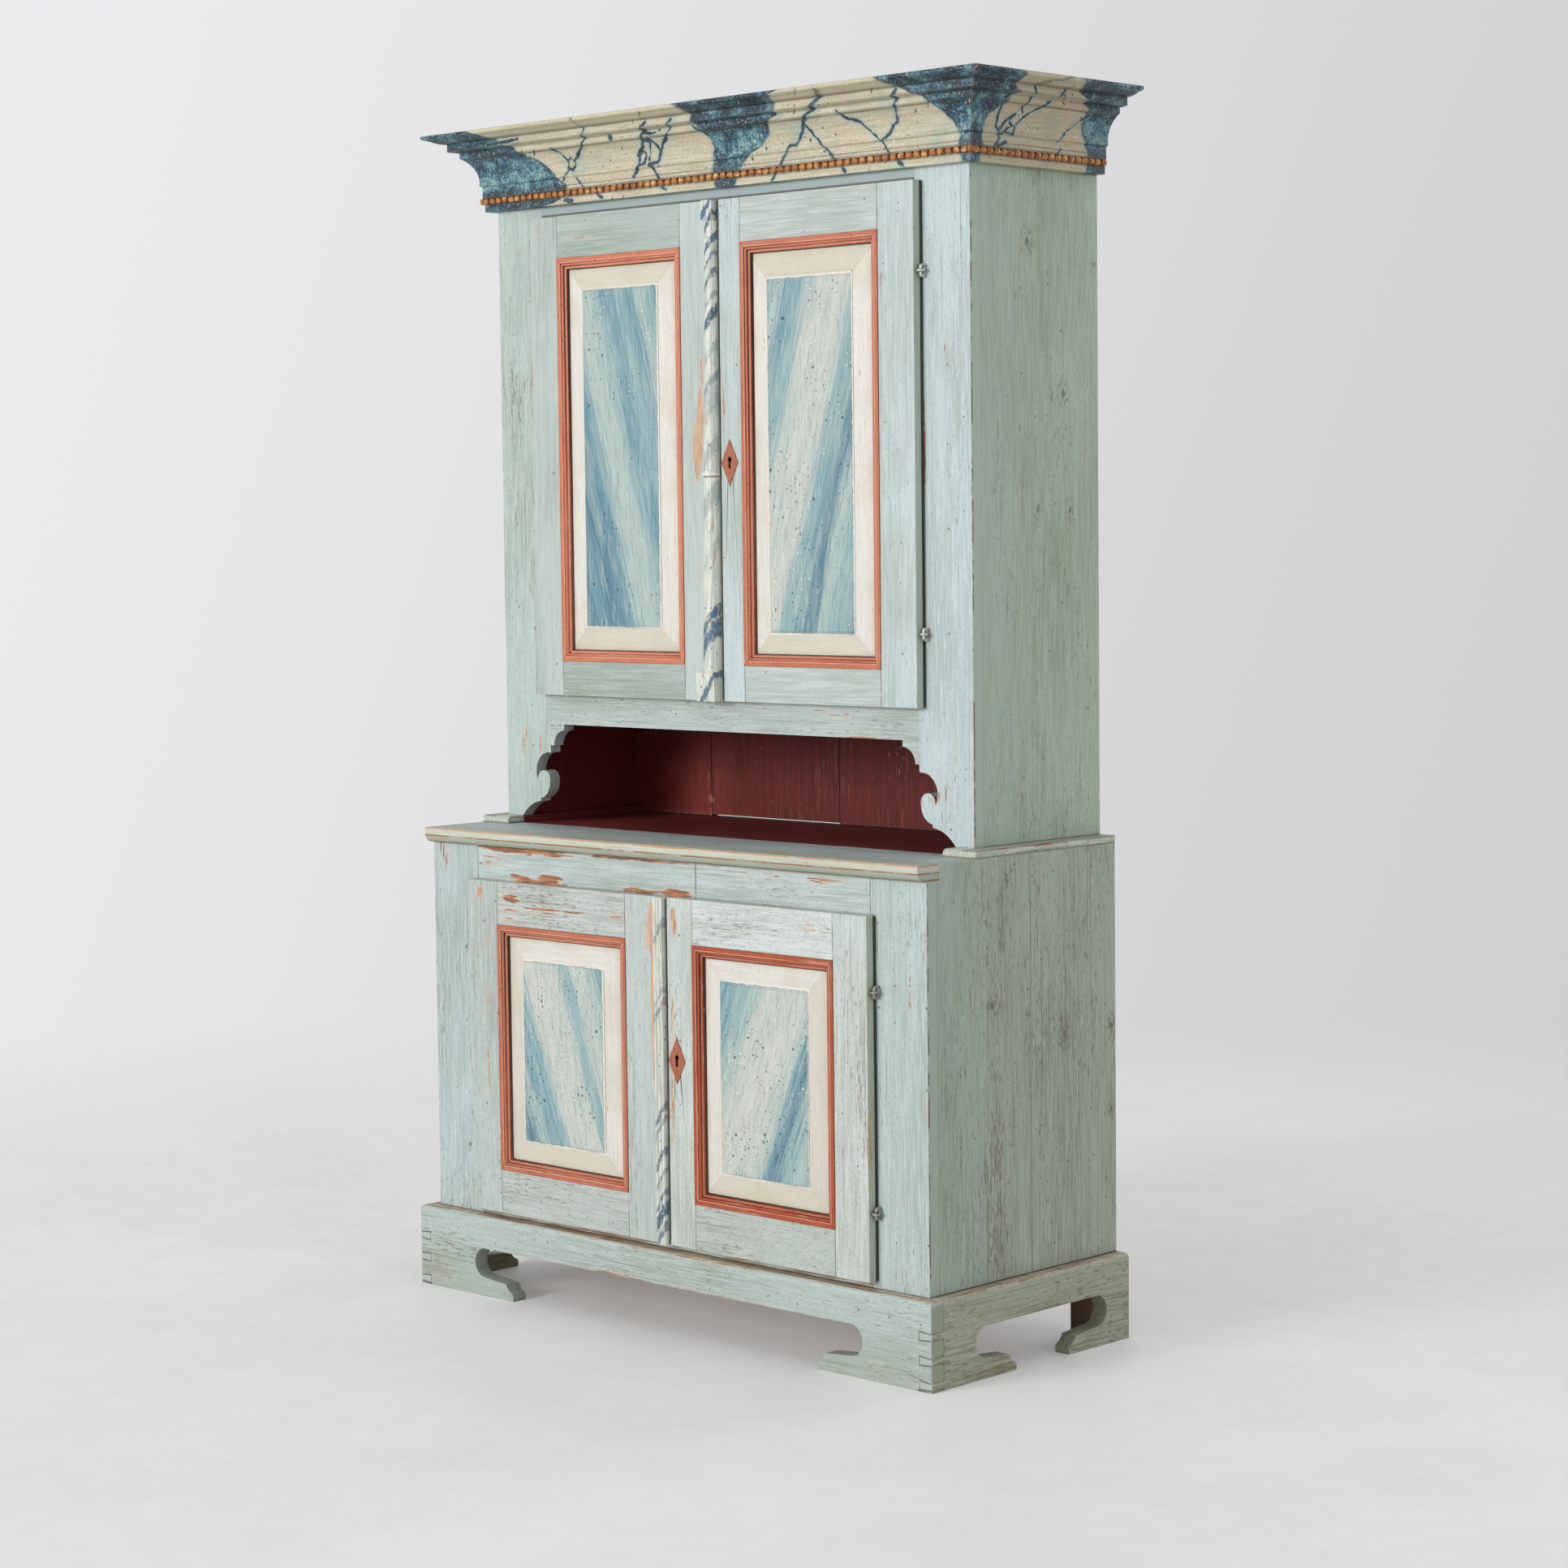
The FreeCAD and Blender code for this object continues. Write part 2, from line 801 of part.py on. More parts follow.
# The scroll under the niche, from the joint with the niche rail down to the foot. Each corner gives
# its share of the scroll's reach and height, and the rise of the arc that ends there as a share of
# the reach.
SCROLL = [
    (0.0, 1.0, 0),
    (0.45, 0.563, -0.25),
    (0.25, 0.72, 0.077),
    (0.04, 0.546, 0.083),
    (0.37, 0.286, 0.09),
    (0.37, 0.244, 0),
    (1.0, 0.0, -0.077),
]


def make_upper_stile(side, sign):
    body = new_body(f"upper_stile_{side}", y=upper_front)
    outline = [(upper_half, case_top_z), (upper_opening, case_top_z)]
    for reach, height, rise in SCROLL:
        corner = (upper_opening + size.scroll_reach * reach, upper_foot_z + size.scroll_height * height)
        if rise:
            corner = corner + (size.scroll_reach * rise,)
        outline.append(corner)
    outline.append((upper_half, upper_foot_z))
    if sign < 0:
        outline = mirror_path(outline)
    board = sketch_on(body, f"upper_stile_{side}_outline", "XZ_Plane", [outline])
    pad(body, f"upper_stile_{side}_board", board, size.frame_thickness, backwards=True)
    return finish(body)


def make_niche_rail():
    """The rail between doors and niche; its ends drop in a cove to meet the scrolls."""
    body = new_body("niche_rail", y=upper_front)
    end_z = niche_top_z - size.niche_rail_drop
    cove_x = upper_opening - size.niche_ledge
    cove_top = end_z + size.niche_cove
    right = [
        (cove_x - size.niche_cove, niche_top_z),
        (cove_x - size.niche_cove, cove_top),
        (cove_x, end_z, -size.niche_cove * 0.2929),
        (upper_opening, end_z),
        (upper_opening, upper_sill_z),
    ]
    left = []
    for corner in reversed(right):
        left.append((-corner[0], corner[1]))
    left[2] = (-right[2][0], end_z)
    left[3] = (-right[1][0], cove_top, -size.niche_cove * 0.2929)
    outline = sketch_on(body, "niche_rail_outline", "XZ_Plane", [right + left])
    pad(body, "niche_rail_board", outline, size.frame_thickness, backwards=True)
    return finish(body)


def upper_shelf_heights():
    first = upper_sill_z + size.upper_shelf_first
    return [first, first + size.upper_shelf_pitch]


def upper_side(name, sign):
    across = mirrored_span(sign, upper_inside, upper_half)
    board = block(name + "_board", across, (upper_frame_back, size.lower_depth), (upper_foot_z, case_top_z))
    housing = mirrored_span(sign, upper_inside, upper_inside + size.housing_depth)
    waste = []
    for number, shelf_z in enumerate(upper_shelf_heights(), start=1):
        waste.append(
            block(
                f"{name}_housing_{number}",
                housing,
                (upper_frame_back + size.shelf_setback, back_y),
                (shelf_z, shelf_z + size.shelf_thickness),
            )
        )
    finish(cut(name, board, waste))


def make_upper_back():
    """Back boards down to the counter: the outer two are notched round the runners, the second is short."""
    lowest = counter_z + size.back_board_gap
    depth = (back_y, size.lower_depth)
    joint = size.upper_back_joint
    joints = [joint - size.upper_back_width, joint, joint + size.upper_back_width]
    boards = back_boards("upper_back", upper_inside, joints, depth, (lowest, case_top_z))
    for index, sign, side in ((0, -1, "left"), (-1, 1, "right")):
        notch = block(
            f"upper_back_notch_{side}",
            mirrored_span(sign, runner_inside - size.back_board_gap, upper_inside),
            depth,
            (lowest, upper_foot_z + size.back_board_gap),
        )
        boards[index] = cut(f"upper_back_outer_{side}", boards[index], [notch])
    short_end = block(
        "upper_back_short_end",
        (joints[0], joint - size.back_board_gap),
        depth,
        (lowest, counter_z + size.upper_back_short),
    )
    boards[1] = cut("upper_back_second", boards[1], [short_end])
    finish(group("upper_back", boards))


def make_upper_case():
    upper_side("upper_side_left", -1)
    upper_side("upper_side_right", 1)
    make_upper_stile("left", -1)
    make_upper_stile("right", 1)
    make_niche_rail()
    frame = (upper_front, upper_frame_back)
    finish(block("upper_top_rail", (-upper_opening, upper_opening), frame, (upper_head_z, case_top_z)))
    inside = (-upper_inside, upper_inside)
    depth = (upper_frame_back, back_y)
    floor = (upper_sill_z - size.upper_floor_thickness, upper_sill_z)
    finish(block("upper_floor", inside, depth, floor))
    finish(block("upper_roof", inside, depth, (case_top_z - size.side_thickness, case_top_z)))
    make_upper_back()
    shelves = []
    half = upper_inside + size.housing_depth
    shelf_depth = (upper_frame_back + size.shelf_setback, back_y)
    for number, shelf_z in enumerate(upper_shelf_heights(), start=1):
        height = (shelf_z, shelf_z + size.shelf_thickness)
        shelves.append(block(f"upper_shelf_{number}", (-half, half), shelf_depth, height))
    finish(group("upper_shelves", shelves))


# ---------------------------------------------------------------------------------------------------
# Cornice
# ---------------------------------------------------------------------------------------------------


def cornice_section():
    """How far the cornice stands out, and how far below its top: nose, two fillets, cove, fascia."""
    out = size.cornice_overhang
    nose = size.crown_nose
    under = -size.crown_drop
    crown_in = out - size.crown_reach
    upper_in = crown_in - nose * 0.3
    upper_low = under - size.upper_fillet_height
    lower_in = crown_in - size.upper_fillet_step
    lower_top = upper_low - size.fascia_step * 0.6
    lower_low = lower_top - size.lower_fillet_height
    cove_in = lower_in - size.cove_reach
    cove_low = lower_low - size.cove_height
    fascia_in = cove_in - size.fascia_step
    return [
        (0, -size.cornice_height),
        (0, 0),
        (out - nose * 0.3, 0),
        (out - nose * 0.45, -nose, -nose * 0.31),
        ((out + crown_in) / 2, (under - nose) / 2, size.crown_drop * 0.035),
        (crown_in, under, -size.crown_drop * 0.04),
        (upper_in, under),
        (upper_in, upper_low),
        (lower_in, lower_top),
        (lower_in, lower_low),
        (lower_in - size.fascia_step * 0.75, lower_low - size.fascia_step * 0.4),
        (cove_in, cove_low, size.cove_hollow),
        (fascia_in, cove_low - size.fascia_step * 0.7),
        (fascia_in, -size.bead_drop),
        (size.frieze_proud, -size.bead_drop),
        (size.frieze_proud, -size.cornice_height),
    ]


def bead_section():
    """A half-round strip under the fascia."""
    seat = size.frieze_proud
    middle = seat + size.bead_proud / 2
    top = -size.bead_drop
    bottom = top - size.bead_height
    return [
        (seat, bottom),
        (seat, top),
        (middle, top),
        (middle, bottom, -size.bead_proud / 2),
    ]


def mouldings_round_case(path, gap=0):
    """The front length and the two returns of a moulding that runs round the upper case's top.

    Each end stays `gap` short of its mitre.
    """
    half = float(upper_half)
    front = float(upper_front)
    gap = float(gap)
    depth = float(size.lower_depth) - front - gap
    height = float(top_z)
    x_axis = Vector(1, 0, 0)
    y_axis = Vector(0, 1, 0)
    up = Vector(0, 0, 1)
    left_end = Vector(gap - half, front, height)
    length = 2 * (half - gap)
    front_length = mitred_length(path, left_end, x_axis, length, -y_axis, up, spread=1)
    returns = []
    for side in (-1, 1):
        corner = Vector(half * side, front + gap, height)
        outwards = x_axis * side
        returns.append(
            mitred_length(path, corner, y_axis, depth, outwards, up, spread=1, mitres=(True, False))
        )
    return front_length, returns[0], returns[1]


def make_cornice():
    lengths = mouldings_round_case(cornice_section())
    for name, shape in zip(("cornice_front", "cornice_left", "cornice_right"), lengths):
        finish(shaped(name, shape))
    beads = mouldings_round_case(bead_section(), size.bead_mitre_gap)
    finish(shaped("cornice_bead", Part.makeCompound(list(beads))))


# ---------------------------------------------------------------------------------------------------
# Doors
# ---------------------------------------------------------------------------------------------------


class Door:
    """Where one door lies. `inward` is +1 where the door runs to the right from its hinges."""

    def __init__(self, name, inward, case_y, hinge_x, meeting_x, low_z, high_z, stiles, rails, lips):
        self.name = name
        self.inward = inward
        self.hinge_x = hinge_x
        self.meeting_x = meeting_x
        self.low_z = low_z
        self.high_z = high_z
        self.hinge_stile, self.meeting_stile = stiles
        self.bottom_rail, self.top_rail = rails
        self.lip_side, self.lip_end = lips
        self.case_y = as_size(case_y)
        self.face_y = self.case_y - size.door_standoff - size.door_lip
        self.lip_y = self.case_y - size.door_standoff
        self.back_y = self.lip_y + size.door_inner
        self.groove_y = self.face_y + size.panel_setback
        # the clear opening inside the frame
        self.open_hinge_x = hinge_x + self.hinge_stile * inward
        self.open_meeting_x = meeting_x - self.meeting_stile * inward
        self.open_low_z = low_z + self.bottom_rail
        self.open_high_z = high_z - self.top_rail

    def span(self, start, length):
        """A span that starts at one x and runs inward, away from the hinges."""
        end = start + as_size(length) * self.inward
        return (start, end) if self.inward > 0 else (end, start)

    def opening(self, margin=0):
        """The span of the clear opening, made smaller by a margin all round."""
        margin = as_size(margin)
        low, high = self.open_hinge_x, self.open_meeting_x
        if self.inward < 0:
            low, high = high, low
        return (low + margin, high - margin), (self.open_low_z + margin, self.open_high_z - margin)


def tenon_height(door, which):
    """The height of the tenon at the end of the top or the bottom rail."""
    if which == "bottom":
        return (door.low_z + door.lip_end + size.tenon_shoulder, door.open_low_z - size.groove_depth)
    return (door.open_high_z + size.groove_depth, door.high_z - door.lip_end - size.tenon_shoulder)


def tenon_depth(door, fit=0):
    middle = door.groove_y + size.panel_tongue / 2
    return (middle - size.tenon_thickness / 2 - fit, middle + size.tenon_thickness / 2 + fit)


def door_stile(door, which):
    """An upright of the door: lipped over the case where it hinges, grooved for the panel."""
    name = f"{door.name}_{which}_stile"
    at_hinge = which == "hinge"
    edge = door.hinge_x if at_hinge else door.open_meeting_x
    width = door.hinge_stile if at_hinge else door.meeting_stile
    across = door.span(edge, width)
    face = block(name + "_face", across, (door.face_y, door.lip_y), (door.low_z, door.high_z))
    rebate = door.lip_side + size.door_clearance if at_hinge else as_size(0)
    inner_across = door.span(edge + rebate * door.inward, width - rebate)
    end_gap = door.lip_end + size.door_clearance
    inner_height = (door.low_z + end_gap, door.high_z - end_gap)
    inner = block(name + "_inner", inner_across, (door.lip_y, door.back_y), inner_height)
    solid = fuse(name + "_board", [face, inner])
    joint_x = door.open_hinge_x if at_hinge else door.open_meeting_x
    outwards = -1 if at_hinge else 1
    waste = []
    groove_edges = (joint_x, joint_x + size.groove_depth * (outwards * door.inward))
    groove_across = groove_edges if outwards * door.inward > 0 else groove_edges[::-1]
    groove_height = (door.open_low_z - size.groove_depth, door.open_high_z + size.groove_depth)
    groove_y = (door.groove_y, door.groove_y + size.panel_tongue)
    waste.append(block(name + "_groove", groove_across, groove_y, groove_height))
    mortise_edges = (joint_x, joint_x + (size.tenon_length + size.mortise_play) * (outwards * door.inward))
    mortise_across = mortise_edges if outwards * door.inward > 0 else mortise_edges[::-1]
    for rail in ("bottom", "top"):
        low, high = tenon_height(door, rail)
        height = (low - size.tenon_fit, high + size.tenon_fit)
        waste.append(block(f"{name}_{rail}_mortise", mortise_across, tenon_depth(door, size.tenon_fit), height))
    if not at_hinge and door.inward < 0:
        waste += keyhole_waste(door, name, door.face_y, door.back_y)
    return cut(name, solid, waste)


def door_rail(door, which):
    """A cross rail of the door, tenoned into both stiles and grooved for the panel."""
    name = f"{door.name}_{which}_rail"
    across, clear = door.opening()
    end_gap = door.lip_end + size.door_clearance
    if which == "bottom":
        height = (door.low_z, door.open_low_z)
        inner_height = (door.low_z + end_gap, door.open_low_z)
        groove_height = (door.open_low_z - size.groove_depth, door.open_low_z)
    else:
        height = (door.open_high_z, door.high_z)
        inner_height = (door.open_high_z, door.high_z - end_gap)
        groove_height = (door.open_high_z, door.open_high_z + size.groove_depth)
    face = block(name + "_face", across, (door.face_y, door.lip_y), height)
    inner = block(name + "_inner", across, (door.lip_y, door.back_y), inner_height)
    tenon_across = (across[0] - size.tenon_length, across[1] + size.tenon_length)
    tenon = block(name + "_tenon", tenon_across, tenon_depth(door), tenon_height(door, which))
    board = fuse(name + "_board", [face, inner, tenon])
    groove_y = (door.groove_y, door.groove_y + size.panel_tongue)
    groove = block(name + "_groove", across, groove_y, groove_height)
    return cut(name, board, [groove])


def door_panel(door):
    """A raised and fielded panel: tongue in the frame's groove, bevel, and a stepped-up field."""
    name = f"{door.name}_panel"
    tongue_x, tongue_z = door.opening(size.panel_play - size.groove_depth)
    tongue_y = (door.groove_y, door.groove_y + size.panel_tongue)
    tongue = block(name + "_tongue", tongue_x, tongue_y, tongue_z)
    bevel_x, bevel_z = door.opening(size.moulding_width)
    field_x, field_z = door.opening(size.moulding_width + size.panel_bevel)
    wedge = doc.addObject("Part::Wedge", name + "_bevel")
    corners = {
        "Ymin": door.groove_y - size.panel_bevel_rise,
        "Ymax": door.groove_y,
        "Xmin": field_x[0],
        "Xmax": field_x[1],
        "Zmin": field_z[0],
        "Zmax": field_z[1],
        "X2min": bevel_x[0],
        "X2max": bevel_x[1],
        "Z2min": bevel_z[0],
        "Z2max": bevel_z[1],
    }
    wide = ("Xmin", "Xmax", "X2min", "X2max", "Zmin", "Zmax", "Z2min", "Z2max", "Ymin", "Ymax")
    for corner in wide:
        setattr(wedge, corner, float(corners[corner]))
    for corner in wide:
        wedge.setExpression(corner, corners[corner].formula)
    bind_place(wedge, 0, 0, 0)
    field_y = (door.groove_y - size.panel_field_rise, door.groove_y)
    field = block(name + "_field", field_x, field_y, field_z)
    return finish(fuse(name, [tongue, wedge, field]))


def door_moulding_section():
    """Across from the frame's edge and out from the panel's margin: band, bead, quirk, small bead."""
    width = size.moulding_width
    height = size.panel_setback + size.moulding_proud
    drop = size.moulding_drop
    return [
        (0, 0),
        (0, height),
        (width * 0.43, height),
        (width * 0.48, height - drop * 0.2),
        (width * 0.67, height - drop * 0.4, -drop * 0.12),
        (width * 0.71, height - drop * 0.6),
        (width * 0.93, height - drop * 0.75, -drop * 0.1),
        (width, height - drop),
        (width, 0),
    ]


def door_moulding(door):
    """Four mitred lengths of moulding planted round the panel."""
    (x_low, x_high), (z_low, z_high) = door.opening()
    y = float(door.groove_y)
    width = float(x_high - x_low)
    height = float(z_high - z_low)
    right = Vector(1, 0, 0)
    up = Vector(0, 0, 1)
    front = Vector(0, -1, 0)
    low_left = Vector(float(x_low), y, float(z_low))
    high_left = Vector(float(x_low), y, float(z_high))
    low_right = Vector(float(x_high), y, float(z_low))
    path = door_moulding_section()
    lengths = [
        mitred_length(path, low_left, right, width, up, front, spread=-1),
        mitred_length(path, high_left, right, width, -up, front, spread=-1),
        mitred_length(path, low_left, up, height, right, front, spread=-1),
        mitred_length(path, low_right, up, height, -right, front, spread=-1),
    ]
    return finish(shaped(f"{door.name}_moulding", Part.makeCompound(lengths)))


def keyhole_centre(door):
    rise = size.upper_lock_rise if door.name.startswith("upper") else size.lower_lock_rise
    return (door.meeting_x + size.escutcheon_inset + size.escutcheon_width / 2, door.low_z + rise)


def keyhole_waste(door, name, y_from, y_to):
    """The key's way through a stile or a lock plate: a round barrel over a slot."""
    x, z = keyhole_centre(door)
    turn = FreeCAD.Rotation(Vector(1, 0, 0), -90)
    barrel_z = z + size.key_height / 2 - size.key_barrel / 2
    place = (x, y_from, barrel_z)
    barrel = cylinder(name + "_key_barrel", size.key_barrel / 2, y_to - y_from, place, turn)
    across = (x - size.key_slot / 2, x + size.key_slot / 2)
    slot = block(name + "_key_slot", across, (y_from, y_to), (z - size.key_height / 2, barrel_z))
    return [barrel, slot]


def hinge_heights(door):
    if door.name.startswith("upper"):
        return (door.low_z + size.upper_hinge_low, door.low_z + size.upper_hinge_high)
    return (door.low_z + size.lower_hinge_low, door.low_z + size.lower_hinge_high)


def hinge_axis(door):
    """The hinge pin stands off the door's edge, half way through its lip."""
    return (door.hinge_x - size.hinge_offset * door.inward, door.face_y + size.door_lip / 2)


def hammered_wire(radius, x, z):
    """The eight-sided section of hand-forged wire."""
    corner = radius * 0.4142
    return [
        (x + radius, z - corner),
        (x + radius, z + corner),
        (x + corner, z + radius),
        (x - corner, z + radius),
        (x - radius, z + corner),
        (x - radius, z - corner),
        (x - corner, z - radius),
        (x + corner, z - radius),
    ]


def hinge_staple(door, number, height):
    """The case's half of a hinge: an iron wire staple whose upright leg is the pin."""
    name = f"{door.name}_staple_{number}"
    x, y = hinge_axis(door)
    half = size.hinge_pin_height / 2
    reach = y - door.case_y
    staple = new_body(name, x=x, y=door.case_y, z=height)
    section = sketch_on(staple, name + "_section", "XZ_Plane", [hammered_wire(size.hinge_wire / 2, 0, -half)])
    course = staple.newObject("Sketcher::SketchObject", name + "_course")
    attach(course, staple, "YZ_Plane")
    draw_open(course, [(0, -half), (reach, -half), (reach, half), (0, half)])
    bent = staple.newObject("PartDesign::AdditivePipe", name + "_bent")
    bent.Profile = section
    bent.Spine = (course, [""])
    bent.Transition = "Right corner"
    return staple


def hinge_eye(door, number, height):
    """The door's half: an eye forged flat round the pin, its shank meeting the door's edge."""
    name = f"{door.name}_eye_{number}"
    x, y = hinge_axis(door)
    radius = size.eye_wire / 2
    bore_radius = size.hinge_wire / 2 + size.eye_clearance
    ring_radius = bore_radius + size.eye_wire
    low = height - radius
    ring = cylinder(name + "_ring", ring_radius, size.eye_wire, (x, y, low))
    across = door.span(x + bore_radius * door.inward, size.hinge_offset - bore_radius)
    shank = block(name + "_shank", across, (y - radius, y + radius), (low, low + size.eye_wire))
    bore = cylinder(name + "_bore", bore_radius, size.eye_wire, (x, y, low))
    return cut(name, fuse(name + "_forged", [ring, shank]), [bore])


def make_door(door):
    stiles = [door_stile(door, "hinge"), door_stile(door, "meeting")]
    finish(group(f"{door.name}_stiles", stiles))
    rails = [door_rail(door, "bottom"), door_rail(door, "top")]
    finish(group(f"{door.name}_rails", rails))
    door_panel(door)
    door_moulding(door)
    eyes = []
    staples = []
    for number, height in enumerate(hinge_heights(door), start=1):
        eyes.append(hinge_eye(door, number, height))
        staples.append(hinge_staple(door, number, height))
    finish(group(f"{door.name}_hinge_eyes", eyes))
    return staples


def make_escutcheon(door):
    """A diamond plate with a keyhole, nailed to the meeting stile."""
    name = door.name.replace("_right_door", "_escutcheon")
    x, z = keyhole_centre(door)
    body = new_body(name, x=x, y=door.face_y, z=z)
    half_width = size.escutcheon_width / 2
    half_height = size.escutcheon_height / 2
    diamond = [(half_width, 0), (0, half_height), (-half_width, 0), (0, -half_height)]
    slot = size.key_slot / 2
    barrel = size.key_barrel / 2
    top = size.key_height / 2
    neck = top - barrel * 1.83
    keyhole = [
        (slot, -top),
        (slot, neck),
        (0, top, barrel * 0.709),
        (-slot, neck, barrel * 0.709),
        (-slot, -top),
    ]
    plate = sketch_on(body, name + "_outline", "XZ_Plane", [diamond, keyhole])
    pad(body, name + "_plate", plate, size.escutcheon_thickness)
    return finish(body)


def make_lock(door):
    """An iron lock on the back of the meeting stile, and its bolt, drawn back."""
    prefix = door.name.replace("_right_door", "")
    x, z = keyhole_centre(door)
    left = door.meeting_x + size.lock_inset
    front = door.back_y
    half = size.lock_height / 2
    case = block(
        f"{prefix}_lock_box",
        (left, left + size.lock_width),
        (front, front + size.lock_thickness),
        (z - half, z + half),
    )
    play = size.bolt_clearance
    bolt_half = size.bolt_height / 2
    bolt_y = front + (size.lock_thickness - size.bolt_thickness) / 2
    way = block(
        f"{prefix}_lock_way",
        (left, left + size.bolt_length + play),
        (bolt_y - play, bolt_y + size.bolt_thickness + play),
        (z - bolt_half - play, z + bolt_half + play),
    )
    key_way = keyhole_waste(door, f"{prefix}_lock", front, bolt_y)
    finish(cut(f"{prefix}_lock", case, [way] + key_way))
    finish(
        block(
            f"{prefix}_lock_bolt",
            (left, left + size.bolt_length),
            (bolt_y, bolt_y + size.bolt_thickness),
            (z - bolt_half, z + bolt_half),
        )
    )


def half_disc(centre, radius, face):
    """Half a circle that stands in front of the face line."""
    rise = radius * 0.2929
    return [
        (centre - radius, face),
        (centre, face - radius, rise),
        (centre + radius, face, rise),
    ]


def make_column(door):
    """A tapering half column with foot block, ring and cap, planted on the left upper door."""
    edge = door.meeting_x
    face = door.face_y
    low = door.low_z
    foot_top = low + size.column_foot_height
    cap_low = door.high_z - size.column_cap_height
    foot_radius = size.column_foot_radius
    top_radius = size.column_top_radius
    rise = cap_low - foot_top
    lean = math.degrees(math.atan2(float(foot_radius - top_radius), float(rise)))
    cone = doc.addObject("Part::Cone", "upper_column_cone")
    cone.setExpression("Radius1", foot_radius.formula)
    cone.setExpression("Radius2", top_radius.formula)
    cone.setExpression("Height", rise.formula)
    cone.Placement = FreeCAD.Placement(Vector(0, 0, 0), FreeCAD.Rotation(Vector(0, 1, 0), lean))
    bind_place(cone, edge - size.column_inset - foot_radius, face, foot_top)
    behind = block(
        "upper_column_behind",
        (edge - foot_radius * 3, edge + foot_radius),
        (face, face + foot_radius * 2),
        (low, door.high_z),
    )
    shaft = cut("upper_column_shaft", cone, [behind])
    foot = block(
        "upper_column_foot",
        (edge - size.column_foot_width, edge),
        (face - size.column_foot_proud, face),
        (low, foot_top + 1),
    )
    cap = block(
        "upper_column_cap",
        (edge - size.column_cap_width, edge),
        (face - size.column_cap_proud, face),
        (cap_low - 1, door.high_z),
    )
    ring_body = new_body("upper_column_ring_body", z=foot_top + size.column_ring_rise)
    ring_radius = (foot_radius + top_radius) / 2 + size.column_ring_proud
    ring_section = half_disc(edge - ring_radius, ring_radius, face)
    ring_sketch = sketch_on(ring_body, "upper_column_ring_section", "XY_Plane", [ring_section])
    pad(ring_body, "upper_column_ring", ring_sketch, size.column_ring_height)
    return finish(fuse("upper_column", [shaft, foot, cap, ring_body]))


def make_reeded_strip(door):
    """A flat strip with three reeds, planted on the left lower door."""
    body = new_body("lower_reeded_strip", z=door.low_z)
    right = door.meeting_x
    left = right - size.strip_width
    flat = door.face_y - size.strip_proud + size.strip_reed
    reed = size.strip_width / 3
    outline = [
        (left, door.face_y),
        (left, flat),
        (left + reed, flat, size.strip_reed),
        (left + reed * 2, flat, size.strip_reed),
        (right, flat, size.strip_reed),
        (right, door.face_y),
    ]
    section = sketch_on(body, "lower_reeded_strip_section", "XY_Plane", [outline])
    pad(body, "lower_reeded_strip_length", section, door.high_z - door.low_z)
    return finish(body)


def upper_door(side, inward, stiles):
    edge = (upper_opening + size.upper_lip_side) * -inward
    meeting = size.upper_meeting_offset - size.meeting_gap / 2 * inward
    low = upper_sill_z - size.upper_lip_end
    high = upper_head_z + size.upper_lip_end
    rails = (size.upper_door_bottom_rail, size.upper_door_top_rail)
    lips = (size.upper_lip_side, size.upper_lip_end)
    name = f"upper_{side}_door"
    return Door(name, inward, upper_front, edge, meeting, low, high, stiles, rails, lips)


def lower_door(side, inward, stiles):
    edge = (lower_opening + size.lower_lip_side) * -inward
    meeting = size.lower_meeting_offset - size.meeting_gap / 2 * inward
    low = floor_z - size.lower_lip_end
    high = lower_head_z + size.lower_lip_end
    rails = (size.lower_door_bottom_rail, size.lower_door_top_rail)
    lips = (size.lower_lip_side, size.lower_lip_end)
    name = f"lower_{side}_door"
    return Door(name, inward, 0, edge, meeting, low, high, stiles, rails, lips)


def make_doors():
    upper_left = upper_door("left", 1, (size.upper_left_hinge_stile, size.upper_left_meeting_stile))
    upper_right = upper_door("right", -1, (size.upper_right_hinge_stile, size.upper_right_meeting_stile))
    lower_left = lower_door("left", 1, (size.lower_left_hinge_stile, size.lower_left_meeting_stile))
    lower_right = lower_door("right", -1, (size.lower_right_hinge_stile, size.lower_right_meeting_stile))
    staples = []
    for door in (upper_left, upper_right, lower_left, lower_right):
        staples += make_door(door)
    finish(group("hinge_staples", staples))
    make_column(upper_left)
    make_reeded_strip(lower_left)
    for door in (upper_right, lower_right):
        make_escutcheon(door)
        make_lock(door)


# ---------------------------------------------------------------------------------------------------
# Build, check and write
# ---------------------------------------------------------------------------------------------------


def check(items):
    """Stops the build where an object failed or a sub-part has no sound solid."""
    for item in doc.Objects:
        for word in ("Invalid", "Error"):
            if word in item.State:
                raise RuntimeError(f"{item.Label} failed to compute: {item.State}")
    for item in items:
        if item.Shape.isNull() or not item.Shape.isValid() or not item.Shape.Solids:
            raise RuntimeError(f"{item.Label} has no sound solid")


make_base()
make_lower_case()
make_counter()
make_runners()
make_upper_case()
make_cornice()
make_doors()
doc.recompute()
check(pieces)

os.makedirs("parts", exist_ok=True)
for piece in pieces:
    piece.Shape.exportStep(os.path.join("parts", piece.Label + ".step"))
print(f"{len(pieces)} sub-parts written")
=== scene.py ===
import math
import random
from functools import reduce

import bmesh
import bpy
from mathutils import Matrix, Vector


